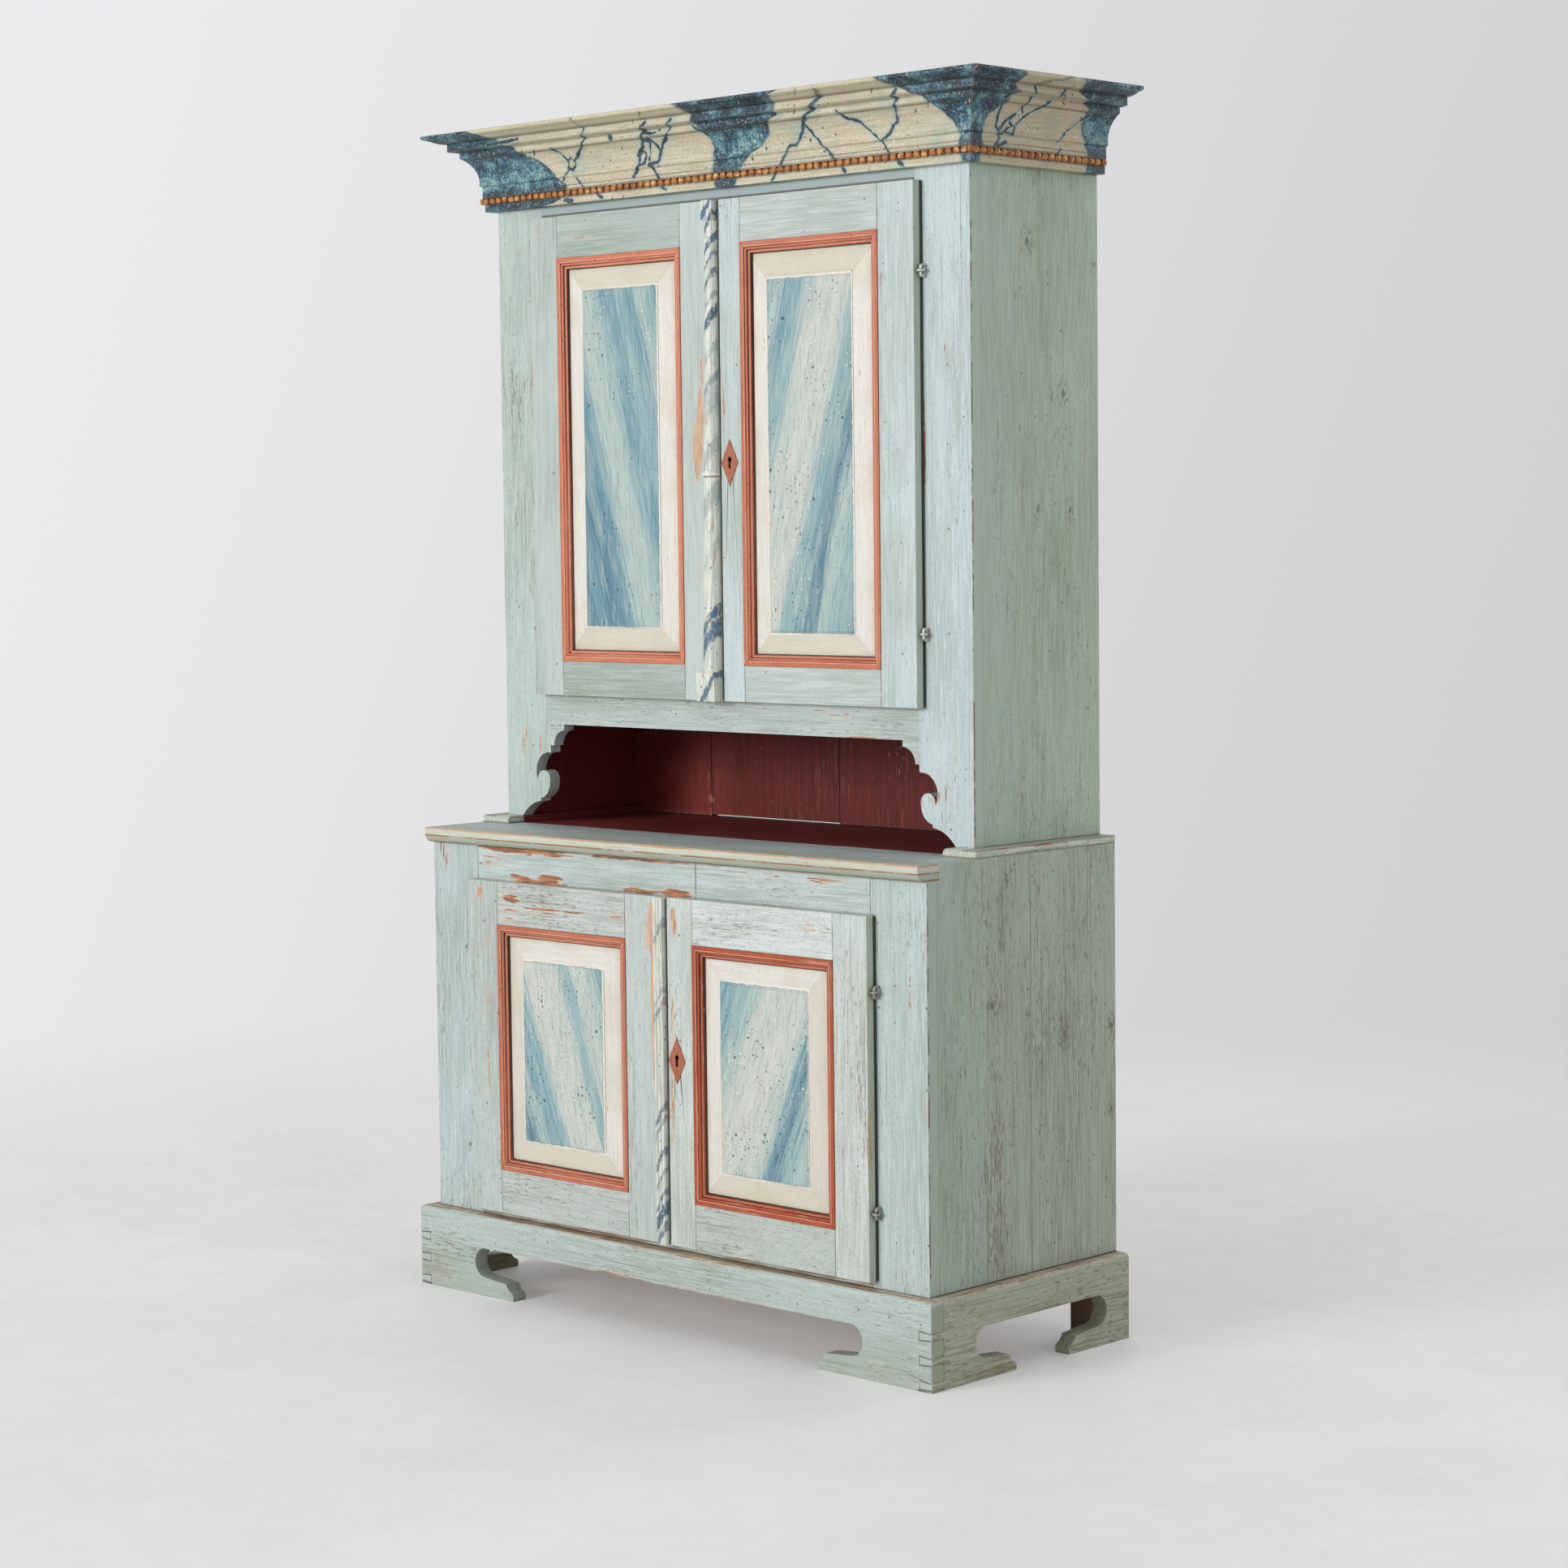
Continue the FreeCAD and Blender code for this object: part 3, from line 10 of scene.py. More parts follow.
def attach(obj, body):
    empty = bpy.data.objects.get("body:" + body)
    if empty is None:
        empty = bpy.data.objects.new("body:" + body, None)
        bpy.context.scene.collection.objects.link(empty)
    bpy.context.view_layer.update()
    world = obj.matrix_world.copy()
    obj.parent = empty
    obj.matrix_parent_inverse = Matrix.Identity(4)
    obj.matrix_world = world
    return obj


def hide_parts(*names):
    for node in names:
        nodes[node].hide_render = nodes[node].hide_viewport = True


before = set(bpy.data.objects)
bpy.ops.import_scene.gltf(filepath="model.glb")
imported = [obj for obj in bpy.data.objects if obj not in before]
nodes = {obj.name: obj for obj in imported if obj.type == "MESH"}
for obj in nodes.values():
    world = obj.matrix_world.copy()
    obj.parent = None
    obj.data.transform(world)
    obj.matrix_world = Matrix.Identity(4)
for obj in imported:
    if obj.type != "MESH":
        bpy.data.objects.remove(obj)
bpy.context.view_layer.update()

scene = bpy.context.scene
MM = 0.001
# Depths below are counted in millimetres from the lower case's front, as a cabinetmaker would.
FRONT_Y = -226.0

# ---- Camera ----

CAMERA_AT = (4.2035, -4.3112, 1.3809)
CAMERA_LENS = 79.08
# The camera starts looking straight down, and turns about its own axes in this order, in degrees.
CAMERA_TURNS = (("Z", 43.78), ("X", -4.257), ("Y", 0.655), ("X", 90))

camera_data = bpy.data.cameras.new("camera")
camera_data.lens = CAMERA_LENS
camera_data.sensor_width = 36
camera_data.clip_end = 60
camera = bpy.data.objects.new("camera", camera_data)
scene.collection.objects.link(camera)
stance = Matrix.Translation(CAMERA_AT)
for axis, degrees in CAMERA_TURNS:
    stance = stance @ Matrix.Rotation(math.radians(degrees), 4, axis)
camera.matrix_world = stance
scene.camera = camera

# ---- Shader formulas ----

# A worn spot fades out from its core to this many times its half lengths in x and z.
SPOT_CORE = 0.15
SPOT_SPREAD = 1.25

materials = {}


def linear(red, green, blue):
    """A colour in display values 0..255, as the linear colour that shaders take."""
    values = []
    for part in (red, green, blue):
        part = part / 255
        values.append(part / 12.92 if part <= 0.04045 else ((part + 0.055) / 1.055) ** 2.4)
    return (*values, 1.0)


def operator(name, swapped=False):
    """A maths node as an operator of Field."""
    def apply(field, *other):
        values = (*other, field) if swapped else (field, *other)
        return field.tree.math(name, *values)
    return apply


class Field:
    """A value in a shader that is worked with as in a formula."""

    def __init__(self, tree, socket):
        self.tree = tree
        self.socket = socket

    __add__ = __radd__ = operator("ADD")
    __mul__ = __rmul__ = operator("MULTIPLY")
    __sub__ = operator("SUBTRACT")
    __rsub__ = operator("SUBTRACT", swapped=True)
    __truediv__ = operator("DIVIDE")
    abs = operator("ABSOLUTE")
    max = operator("MAXIMUM")
    min = operator("MINIMUM")

    def rising(self, low, high, start=0, end=1):
        """0 below low, 1 above high, and smooth between them."""
        limits = {"Value": self, "From Min": low, "From Max": high, "To Min": start, "To Max": end}
        made = self.tree.node("MapRange", limits, interpolation_type="SMOOTHSTEP")
        return Field(self.tree, made.outputs["Result"])

    def falling(self, low, high):
        """1 below low, 0 above high, and smooth between them."""
        return self.rising(low, high, 1, 0)

    def between(self, low, high, soft):
        """1 from low to high, with edges this soft."""
        return self.rising(low - soft, low + soft) * self.falling(high - soft, high + soft)

    def clamped(self):
        """Held between 0 and 1."""
        return self.tree.math("MULTIPLY", self, 1.0, clamp=True)


class Coat:
    """A colour that is laid on in layers."""

    def __init__(self, tree, share, first, second):
        self.tree = tree
        self.socket = tree.mix(share, first, second)

    def lay(self, share, colour):
        """Covers this share of what is there with the colour."""
        self.socket = self.tree.mix(share, self.socket, colour)
        return self

    def grimed_and_shaded(self, strength=0.75, reach=8):
        """Dirt and old varnish in corners, which is also painted shade there, and painted black shade in
        narrow gaps.
        """
        patchy = self.tree.noise(30, 2, 50)
        shade_and_dirt = self.tree.hollow(reach) + (patchy - 0.5) * 0.3
        self.lay(shade_and_dirt.rising(0.3, 0.85) * strength, GRIME_AND_SHADE)
        return self.lay(shade_and_dirt.rising(0.66, 0.92) * 0.9, SHADE_BLACK)


class Tree:
    """The nodes of a material or world. Lengths are millimetres, and y is counted from FRONT_Y."""

    def __init__(self, name, grain="z", shift=0, owner=None):
        self.name = name
        self.grain = grain
        self.shift = shift
        self.owner = owner or bpy.data.materials.new(name)
        self.owner.use_nodes = True
        self.nodes = self.owner.node_tree.nodes
        self.links = self.owner.node_tree.links
        self.nodes.clear()
        where = self.node("TexCoord").outputs
        self.normal = where["Normal"]
        self.way = where["Generated"]
        self.place = self.vector("MULTIPLY_ADD", where["Object"], (1000, 1000, 1000), (0, -FRONT_Y, 0))
        self.x, self.y, self.z = self.parts(self.place)
        self.last_stroke = None
        self.spread = None

    def node(self, kind, inputs=(), **settings):
        made = self.nodes.new("ShaderNode" + kind)
        for key, value in settings.items():
            setattr(made, key, value)
        for key, value in dict(inputs).items():
            self.put(made.inputs[key], value)
        return made

    def put(self, socket, value):
        """Sets an input to a node's output, a colour in display values, or a plain value."""
        value = getattr(value, "socket", value)
        if isinstance(value, bpy.types.NodeSocket):
            self.links.new(value, socket)
        elif socket.type == "RGBA" and len(value) == 3:
            socket.default_value = linear(*value)
        else:
            socket.default_value = value

    def math(self, operation, *values, clamp=False):
        made = self.node("Math", enumerate(values), operation=operation, use_clamp=clamp)
        return Field(self, made.outputs[0])

    def vector(self, operation, *values):
        made = self.node("VectorMath", enumerate(values), operation=operation)
        if operation in ("LENGTH", "DOT_PRODUCT"):
            return Field(self, made.outputs["Value"])
        return made.outputs[0]

    def parts(self, vector):
        """The x, y and z of a vector."""
        return [Field(self, output) for output in self.node("SeparateXYZ", {0: vector}).outputs]

    def mix(self, share, first, second):
        return self.node("Mix", {0: share, 6: first, 7: second}, data_type="RGBA").outputs[2]

    def noise(self, lengths, detail, shift, rough=0.5, place=None):
        """Cloudy noise whose forms are about this long along x, y and z."""
        if not isinstance(lengths, tuple):
            lengths = (lengths,) * 3
        scale = tuple(1 / length for length in lengths)
        start = self.place if place is None else place
        where = self.vector("MULTIPLY_ADD", start, scale, (shift, shift * 0.7, shift * 1.3))
        made = self.node("TexNoise", {"Scale": 1, "Detail": detail, "Roughness": rough, "Vector": where})
        return Field(self, made.outputs["Fac"])

    def own(self, lengths, detail, step=0, **more):
        """Noise that starts from the material's own shift, so that no two boards are alike."""
        return self.noise(lengths, detail, self.shift + step, **more)

    def along(self, long, wide):
        """Lengths of forms that are drawn out along the grain."""
        return tuple(long if axis == self.grain else wide for axis in "xyz")

    def grained(self, long, wide, detail, step=0, **more):
        """The material's own noise, drawn out along the grain."""
        return self.own(self.along(long, wide), detail, step, **more)

    def dots(self, pitch, radius, share, step=0):
        """Round dots of uneven size: 1 inside one. About this share of the cells has one."""
        if self.spread is None:
            flat = self.node("CombineXYZ", {"X": self.x + self.y, "Y": self.z + self.y * 0.6})
            self.spread = flat.outputs[0]
        shift = self.shift + step
        where = self.vector("MULTIPLY_ADD", self.spread, (1 / pitch,) * 3, (shift, shift * 0.7, 0))
        made = self.node("TexVoronoi", {"Scale": 1, "Vector": where}, voronoi_dimensions="2D")
        chance = self.node("SeparateColor", {0: made.outputs["Color"]})
        lucky = Field(self, chance.outputs[0])
        size = radius / pitch
        reach = (lucky - (1 - share)) * (0.5 * size / share) + 0.5 * size
        inside = (reach - Field(self, made.outputs["Distance"])).rising(0, 0.3 * size)
        return inside * self.math("GREATER_THAN", lucky, 1 - share)

    def ramp(self, value, stops, low, high):
        """Colours set at places between low and high."""
        made = self.node("ValToRGB", {"Fac": (value - low) / (high - low)})
        made.color_ramp.interpolation = "EASE"
        elements = made.color_ramp.elements
        while len(elements) < len(stops):
            elements.new(0.5)
        for element, (place, colour) in zip(elements, stops):
            element.position = (place - low) / (high - low)
            element.color = linear(*colour)
        return made.outputs["Color"]

    def curve(self, value, points):
        """A smooth line through points (value, result)."""
        places, results = zip(*points)
        low, high = min(places), max(places)
        least, most = min(results), max(results)
        made = self.node("FloatCurve", {"Value": (value - low) / (high - low)})
        line = made.mapping.curves[0]
        while len(line.points) < len(points):
            line.points.new(0.5, 0.5)
        for point, (place, result) in zip(line.points, sorted(points)):
            point.location = ((place - low) / (high - low), (result - least) / (most - least))
        made.mapping.update()
        return Field(self, made.outputs[0]) * (most - least) + least

    def spot(self, x, y, z, dx, dy, dz, strength):
        dx, dz = dx * SPOT_SPREAD, dz * SPOT_SPREAD
        away = self.vector("MULTIPLY_ADD", self.place, (1 / dx, 1 / dy, 1 / dz), (-x / dx, -y / dy, -z / dz))
        return self.vector("LENGTH", away).falling(SPOT_CORE, 1.0) * strength

    def spots(self, places):
        """How deep a place is in any of these ellipsoids (x, y, z, half lengths, strength)."""
        return reduce(Field.max, (self.spot(*place) for place in places))

    def stroke(self, points, half, place):
        """Distance past a painted line's edge: below 0 inside it. The points are (x, z)."""
        best = None
        for (x, z), (end_x, end_z) in zip(points, points[1:]):
            run = (end_x - x, 0, end_z - z)
            square = run[0] ** 2 + run[2] ** 2
            if self.last_stroke is not None:
                # Waits for the stroke before, so that few values are held at once.
                place = self.vector("MULTIPLY_ADD", self.last_stroke, (1e-7, 0, 0), place)
            away = self.vector("SUBTRACT", place, (x, 0, z))
            share = self.vector("DOT_PRODUCT", away, (run[0] / square, 0, run[2] / square)).clamped()
            reach = self.node("VectorMath", {0: run, "Scale": share}, operation="SCALE")
            far = self.vector("LENGTH", self.vector("SUBTRACT", away, reach.outputs[0])) - half
            best = far if best is None else best.min(far)
            self.last_stroke = best
        return best

    def facing(self, axis):
        """1 on faces that look along the axis, either way, and 0 on others."""
        return self.parts(self.normal)["XYZ".index(axis)].abs().rising(0.6, 0.85)

    def hollow(self, distance, **settings):
        """0 in the open, up to 1 deep in a corner or gap."""
        made = self.node("AmbientOcclusion", {"Distance": distance * MM}, samples=4, **settings)
        return 1 - Field(self, made.outputs["AO"])

    def arris(self, distance):
        """0 on a flat, up to 1 at an outer edge."""
        return self.hollow(distance, inside=True, only_local=True)

    def finish(self, colour, rough, height, metal=0.0, specular=0.5):
        """Keeps the material under its name. The height is in millimetres."""
        bump = self.node("Bump", {"Strength": 1, "Distance": MM, "Height": height})
        shader = self.node("BsdfPrincipled", {
            "Base Color": colour, "Roughness": rough, "Metallic": metal, "Specular IOR Level": specular,
            "Normal": bump.outputs[0],
        })
        self.node("OutputMaterial", {"Surface": shader.outputs[0]})
        materials[self.name] = self.owner


# ---- Wood and paint ----

WORN_ORANGE = (188, 116, 70)
WORN_BROWN = (124, 80, 54)
WORN_WOOD = (WORN_ORANGE, WORN_BROWN)
WORN_PINE = ((196, 170, 138), (138, 112, 88))
OCHRE_PINE = ((212, 154, 98), (178, 120, 74))
PRIMER = (212, 192, 172)
FLECK = (112, 92, 78)
# The brown is dirt, and painted shade where it darkens corners and lines; the black is painted shade in
# narrow gaps, holes and beside doors.
GRIME_AND_SHADE = (74, 68, 54)
SHADE_BLACK = (30, 28, 24)
# The pale, middle and dull tone of the grey-blue paint
GREY_BLUE = ((205, 217, 214), (187, 201, 196), (167, 179, 169))


def toned(shifted, tones=GREY_BLUE):
    """The tones of a paint, shifted by display values."""
    return [tuple(part + more for part, more in zip(tone, shifted)) for tone in tones]


def wood(tree):
    """Bare old pine: drawn-out rings with darker lines, greyed in places."""
    bend = tree.grained(900, 120, 2, 3)
    rings = tree.grained(1400, 14, 3, rough=0.6)
    lines = tree.grained(160, 1.6, 2, 8)
    coat = Coat(tree, (rings + bend * 0.5).rising(0.6, 0.95), (184, 152, 114), (150, 114, 80))
    coat.lay(lines.rising(0.52, 0.75) * 0.45, (104, 76, 54))
    grey = tree.own(240, 3, 5)
    return coat.lay(grey.rising(0.42, 0.72) * 0.5, (150, 138, 120)), lines


def parted(coat, joints):
    """Dark gaps where upright boards meet."""
    ragged = (coat.tree.noise((6, 6, 22), 3, 81) - 0.5) * 7
    for joint in joints:
        split = (coat.tree.x - joint + ragged).abs().falling(1.0, 2.6)
        coat.lay(split * 0.9, (26, 12, 12))


def bare_wood(name, grain, shift, shade_share=0.0, joints=()):
    tree = Tree(name, grain, shift)
    coat, lines = wood(tree)
    parted(coat, joints)
    # Painted shade: pieces under the base are darkened all over by this share.
    coat.lay(shade_share, (58, 50, 42))
    # Painted shade in corners, in the colour of dirt.
    coat.lay(tree.hollow(30).rising(0.35, 0.95) * 0.6, GRIME_AND_SHADE)
    tree.finish(coat, lines * 0.2 + 0.62, lines * 0.12, specular=0.3)


def painted(tree, shifted, wear, edge_wear, flecks, spots, woods=WORN_WOOD):
    """Thin dry-brushed paint over pine, rubbed through on edges and at worn spots."""
    pale, middle, dull = toned(shifted)
    bands = tree.grained(520, 13, 3, 4, rough=0.55)
    clouds = tree.grained(360, 120, 2, 9)
    brush = tree.grained(80, 3.2, 3, rough=0.62)
    coat = Coat(tree, (bands * 0.4 + clouds * 0.8).rising(0.46, 0.76), middle, dull)
    coat.lay(brush.rising(0.4, 0.64) * (0.4 + flecks * 0.4), pale)
    speck = tree.grained(6.5, 3.4, 2, 13, rough=0.6)
    coat.lay(speck.rising(0.5, 0.68) * (0.08 + flecks * 0.3), (142, 146, 134))
    patches = tree.grained(260, 70, 2, 30)
    dashes = tree.grained(20, 3.4, 2, 26, rough=0.6)
    coat.lay((dashes + patches * 0.45 + flecks * 0.16).rising(0.99, 1.07) * 0.6, FLECK)
    cracks = tree.grained(240, 3.2, 2, 35)
    coat.lay((cracks + patches * 0.3 + flecks * 0.14).rising(0.9, 0.98) * 0.45, FLECK)
    fine = tree.grained(46, 3.6, 4, 17, rough=0.68)
    coarse = tree.grained(110, 14, 2, 21)
    level = (fine - 0.5) * 2.2 + (coarse - 0.5) * 1.1 + (wear - 0.3)
    edge = tree.arris(5).rising(0.12, 0.8)
    level = level + edge * (edge_wear + 0.08)
    if spots:
        level = level + tree.spots(spots) * 1.8
    rubbed = level.rising(0.31, 0.38)
    # Painted highlight: a pale line along the arrises.
    coat.lay(edge * 0.3, (222, 226, 216))
    broken = tree.grained(46, 9, 3, 51, rough=0.7)
    coat.lay(edge.rising(0.3, 0.8) * broken.rising(0.53, 0.6) * 0.6, WORN_BROWN)
    coat.lay(level.rising(0.06, 0.3) * 0.45, PRIMER)
    bare = tree.mix(tree.grained(40, 5, 3, 33).rising(0.42, 0.58), *woods)
    coat.lay(rubbed * 0.92, bare)
    chips = tree.dots(34, 2.6, 0.06 + flecks * 0.12)
    coat.lay(chips * 0.75, GRIME_AND_SHADE)
    height = brush * 0.12 - rubbed * 0.15 + fine * 0.06
    return coat, rubbed * 0.2 + brush * 0.18 + 0.44, height


def add_knots(coat, places):
    """Knots under the paint: a small eye in a ring of broken paint (x, y, z, radius)."""
    tree = coat.tree
    broken = tree.noise(tree.along(9, 3.4), 2, 77).rising(0.5, 0.6)
    stretch = tree.along(0.6, 1)
    for *centre, radius in places:
        start = tuple(-a * b for a, b in zip(centre, stretch))
        far = tree.vector("LENGTH", tree.vector("MULTIPLY_ADD", tree.place, stretch, start))
        coat.lay(far.falling(radius * 0.9, radius * 2.2) * broken * 0.6, (98, 82, 66))
        coat.lay(far.falling(radius * 0.2, radius * 0.6) * 0.6, (84, 70, 56))


def niche_red(tree):
    """Oxblood distemper, thinly brushed, with orange scratches and darker runs."""
    brush = tree.grained(190, 7, 3, 40, rough=0.6)
    clouds = tree.own(150, 3, 44)
    speck = tree.grained(9, 3.4, 2, 47)
    coat = Coat(tree, (brush * 0.6 + clouds * 0.5).rising(0.42, 0.68), (112, 31, 27), (88, 24, 20))
    coat.lay(speck.rising(0.5, 0.7) * 0.3, (70, 22, 20))
    # Painted light: lighter towards the left end.
    coat.lay(tree.x.falling(-380, -250) * 0.4, (150, 62, 56))
    scratch = tree.grained(70, 3.4, 3, 49, rough=0.6)
    return coat.lay((scratch + clouds * 0.5).rising(0.86, 0.96) * 0.5, (156, 84, 56))


def paint(name, grain, shift, tones, flecks, wear=0.0, edge_wear=0.32, spots=(), inner=None, red=None,
          knots=(), woods=WORN_WOOD, washes=(), seams=(), reach=8):
    """A painted board. `inner` says where it is bare, `red` where it is red like the niche, and `washes`
    where the paint has another tone. Dirt has settled in the seams, which cross the board at these x."""
    tree = Tree(name, grain, shift)
    coat, rough, height = painted(tree, tones, wear, edge_wear, flecks, spots, woods)
    for where, tint in washes:
        coat.lay(where(tree), tint)
    for at in seams:
        kept = tree.own((9, 9, 26), 3, at).rising(0.34, 0.52) * 0.5 + 0.25
        coat.lay((tree.x - at).abs().falling(0.9, 2.2) * kept, GRIME_AND_SHADE)
    if knots:
        add_knots(coat, knots)
    if inner:
        coat.lay(inner(tree), wood(tree)[0])
    if red:
        coat.lay(red(tree), niche_red(tree))
    tree.finish(coat.grimed_and_shaded(reach=reach), rough, height)


# ---- Case ----

# Depths of the faces and backs, half widths outside and inside, and the niche's top
UPPER_FACE = 155
LOWER_FACE = 0
FRAME_THICK = 24
CASE_BACK = 482
UPPER_HALF = 567
LOWER_HALF = 599
BASE_HALF = 625
NICHE_HIGH = 1071
UPPER_INSIDE = 545
LOWER_INSIDE = 577


def behind_face(y):
    """The unpainted back of a board whose back is at y."""
    return lambda tree: tree.y.rising(y - 0.4, y - 0.1)


def inside_upper(tree):
    reach = tree.x.abs().falling(UPPER_INSIDE + 0.1, UPPER_INSIDE + 0.4)
    return reach * tree.y.rising(178.8, 179.2)


def inside_niche(tree):
    return inside_upper(tree) * tree.z.falling(NICHE_HIGH, NICHE_HIGH + 1) * tree.y.falling(481.2, 481.8)


def inside_lower(tree):
    return tree.x.abs().falling(LOWER_INSIDE + 0.1, LOWER_INSIDE + 0.4) * tree.y.rising(23.8, 24.2)


def unpainted(inner):
    """A case board's bare inside, its back edge, and the top edge that the cornice hides."""
    return lambda tree: inner(tree).max(tree.z.rising(2059.2, 2059.7)).max(tree.y.rising(481.4, 481.8))


def bracket_back(tree):
    """The niche's side of the boards that frame it."""
    return tree.y.rising(178.6, 178.9) * tree.z.falling(NICHE_HIGH, NICHE_HIGH + 1)


def bluer(low, high):
    """Where a side is bluer towards its front, between two depths."""
    return lambda tree: (
        (tree.y + (tree.noise((60, 60, 400), 2, 71) - 0.5) * 90).falling(low, high)
        * (tree.noise((3.4, 3.4, 60), 3, 73).rising(0.36, 0.62) * 0.45 + 0.15)
    )


def arris_line(front):
    """The broken dark line along a side's front edge, where the paint of the face ends."""
    return lambda tree: (
        (tree.y - front - 2.4).abs().falling(0.9, 2.0)
        * tree.noise((60, 60, 34), 3, 61, rough=0.65).rising(0.44, 0.56)
        * 0.85
    )


def side_face(edge, front):
    """A stile's outer edge, which is painted like the side."""
    return lambda tree: (
        tree.facing("X")
        * tree.x.abs().rising(edge - 6, edge - 4)
        * tree.y.rising(front + 0.8, front + 1.8)
        * 0.85
    )


def dovetails(tree):
    """The dark outline of the dovetails on both faces of a corner."""
    front = tree.x.abs().between(597, 622, 0.8) * tree.facing("Y")
    side = tree.y.between(-23, 8, 0.8) * tree.facing("X")
    kept = tree.noise(9, 3, 68).rising(0.34, 0.5) * 0.5 + 0.4
    return tree.arris(4).rising(0.2, 0.55) * front.max(side) * kept


PIN_FIRST = 10
PIN_PITCH = 40


def pin_outlines(tree):
    """The dark outline of the side boards' pins on the base's front, where the dirt has settled."""
    from_corner = BASE_HALF - tree.x.abs()
    off_centre = tree.math("PINGPONG", tree.z - PIN_FIRST, PIN_PITCH / 2)
    edge = (off_centre - 5.5 - from_corner / 13).abs().falling(0.5, 1.7) * from_corner.falling(25.6, 26.4)
    root = (from_corner - 26).abs().falling(0.5, 1.7) * off_centre.falling(7.4, 8.4)
    kept = tree.noise(9, 3, 74).rising(0.32, 0.5) * 0.45 + 0.25
    return edge.max(root) * tree.z.falling(104, 106) * tree.facing("Y") * tree.y.falling(-25.8, -25.4) * kept


def on_ledge(tree):
    """The base's top, which sticks out under the case."""
    return tree.z.rising(144.2, 145.4)


def against_case(tree):
    """Painted shadow: the dark line where the base's ledge meets the case."""
    near = tree.x.abs().falling(600.4, 603) * tree.y.rising(-4, -1.6)
    return tree.z.rising(144.6, 145.6) * near * (tree.noise(60, 3, 69).rising(0.3, 0.5) * 0.3 + 0.6)


def ledge_worn(tree):
    """The ledge, scuffed down to old primer."""
    return on_ledge(tree) * tree.noise((160, 160, 20), 3, 63).rising(0.3, 0.46) * 0.8


def ledge_streaks(tree):
    lengthwise = tree.noise((150, 3.2, 3.2), 3, 65, rough=0.6)
    streaks = lengthwise.max(tree.noise((3.2, 150, 3.2), 3, 66, rough=0.6) * 0.9)
    return on_ledge(tree) * streaks.rising(0.485, 0.56) * 0.85


def broken_line(height, half, strength):
    """A line along a moulding where the paint is rubbed off, broken here and there."""
    return lambda tree: (
        (tree.z - height).abs().falling(half, half + 1.3)
        * (tree.noise(46, 3, height, rough=0.65).rising(0.36, 0.52) * 0.7 + 0.3)
        * strength
    )


def door_line(edge, low, high):
    """Painted shadow: the black line on the case's face beside a door's edge."""
    return lambda tree: (
        (tree.x.abs() - edge - 1.4).abs().falling(1.0, 2.2) * tree.z.between(low, high, 1) * 0.8
    )


UPPER_BACKS = {"inner": unpainted(behind_face(UPPER_FACE + FRAME_THICK)), "red": bracket_back}
SIDE_EDGES = {
    "upper": (side_face(UPPER_HALF, UPPER_FACE), (171, 189, 172)),
    "lower": (side_face(LOWER_HALF, LOWER_FACE), (165, 181, 166)),
}

paint(
    "upper_stile_left", "z", 1, tones=(-10, -7, -9), wear=-0.04, edge_wear=0.22,
    spots=[(-505, 155, 990, 60, 20, 40, 0.2), (-567, 155, 900, 16, 30, 60, 0.2)],
    flecks=0.65,
    washes=[SIDE_EDGES["upper"]], **UPPER_BACKS,
)
paint(
    "upper_stile_right", "z", 2.2, tones=(-1, 2, 8), wear=-0.03, edge_wear=0.3,
    washes=[
        (door_line(463, 1083, 1941), SHADE_BLACK),
        SIDE_EDGES["upper"],
        (arris_line(UPPER_FACE), (92, 62, 50)),
    ],
    spots=[
        (466, 155, 1520, 5, 20, 190, 0.42), (466, 155, 1250, 5, 20, 120, 0.3),
        (567, 155, 1500, 5, 20, 220, 0.14), (520, 155, 1640, 46, 20, 60, 0.16),
        (505, 155, 960, 60, 20, 70, 0.24), (540, 155, 1010, 20, 20, 90, 0.2),
        (452, 155, 980, 20, 30, 60, 0.2),
    ],
    flecks=0.55, **UPPER_BACKS,
)
paint(
    "upper_rails", "x", 2, tones=(-9, -10, -9), wear=-0.02,
    washes=[
        # Painted shade: a greyer band from the doors' tops up to the cornice, and a dark painted shadow line
        # just above the doors' tops.
        (lambda tree: tree.z.rising(1940, 1944) * 0.75, (158, 176, 178)),
        (lambda tree: tree.z.between(1938, 1947.4, 0.8) * 0.8, GRIME_AND_SHADE),
    ],
    spots=[
        (60, 155, 1078, 90, 20, 9, 0.3), (260, 155, 1066, 70, 20, 14, 0.34),
        (330, 155, 1028, 50, 20, 8, 0.34), (-120, 155, 1090, 330, 20, 8, 0.2),
        (0, 155, 1934, 480, 20, 6, 0.16),
    ],
    flecks=0.5, **UPPER_BACKS,
)
paint(
    "upper_sides", "z", 3, tones=(-16, -14, -30), wear=-0.1, edge_wear=0.24,
    spots=[
        (567, 270, 1500, 8, 30, 90, 0.12), (567, 320, 1530, 8, 30, 70, 0.12),
        (567, 430, 1700, 8, 20, 60, 0.12),
    ],
    flecks=0.75, inner=unpainted(inside_upper), red=inside_niche,
    knots=[
        (567, 298, 1843, 11), (567, 407, 1405, 9), (567, 390, 1597, 10), (567, 470, 1812, 6),
        (567, 322, 1404, 6),
    ],
    washes=[(bluer(215, 300), (170, 192, 184))],
)

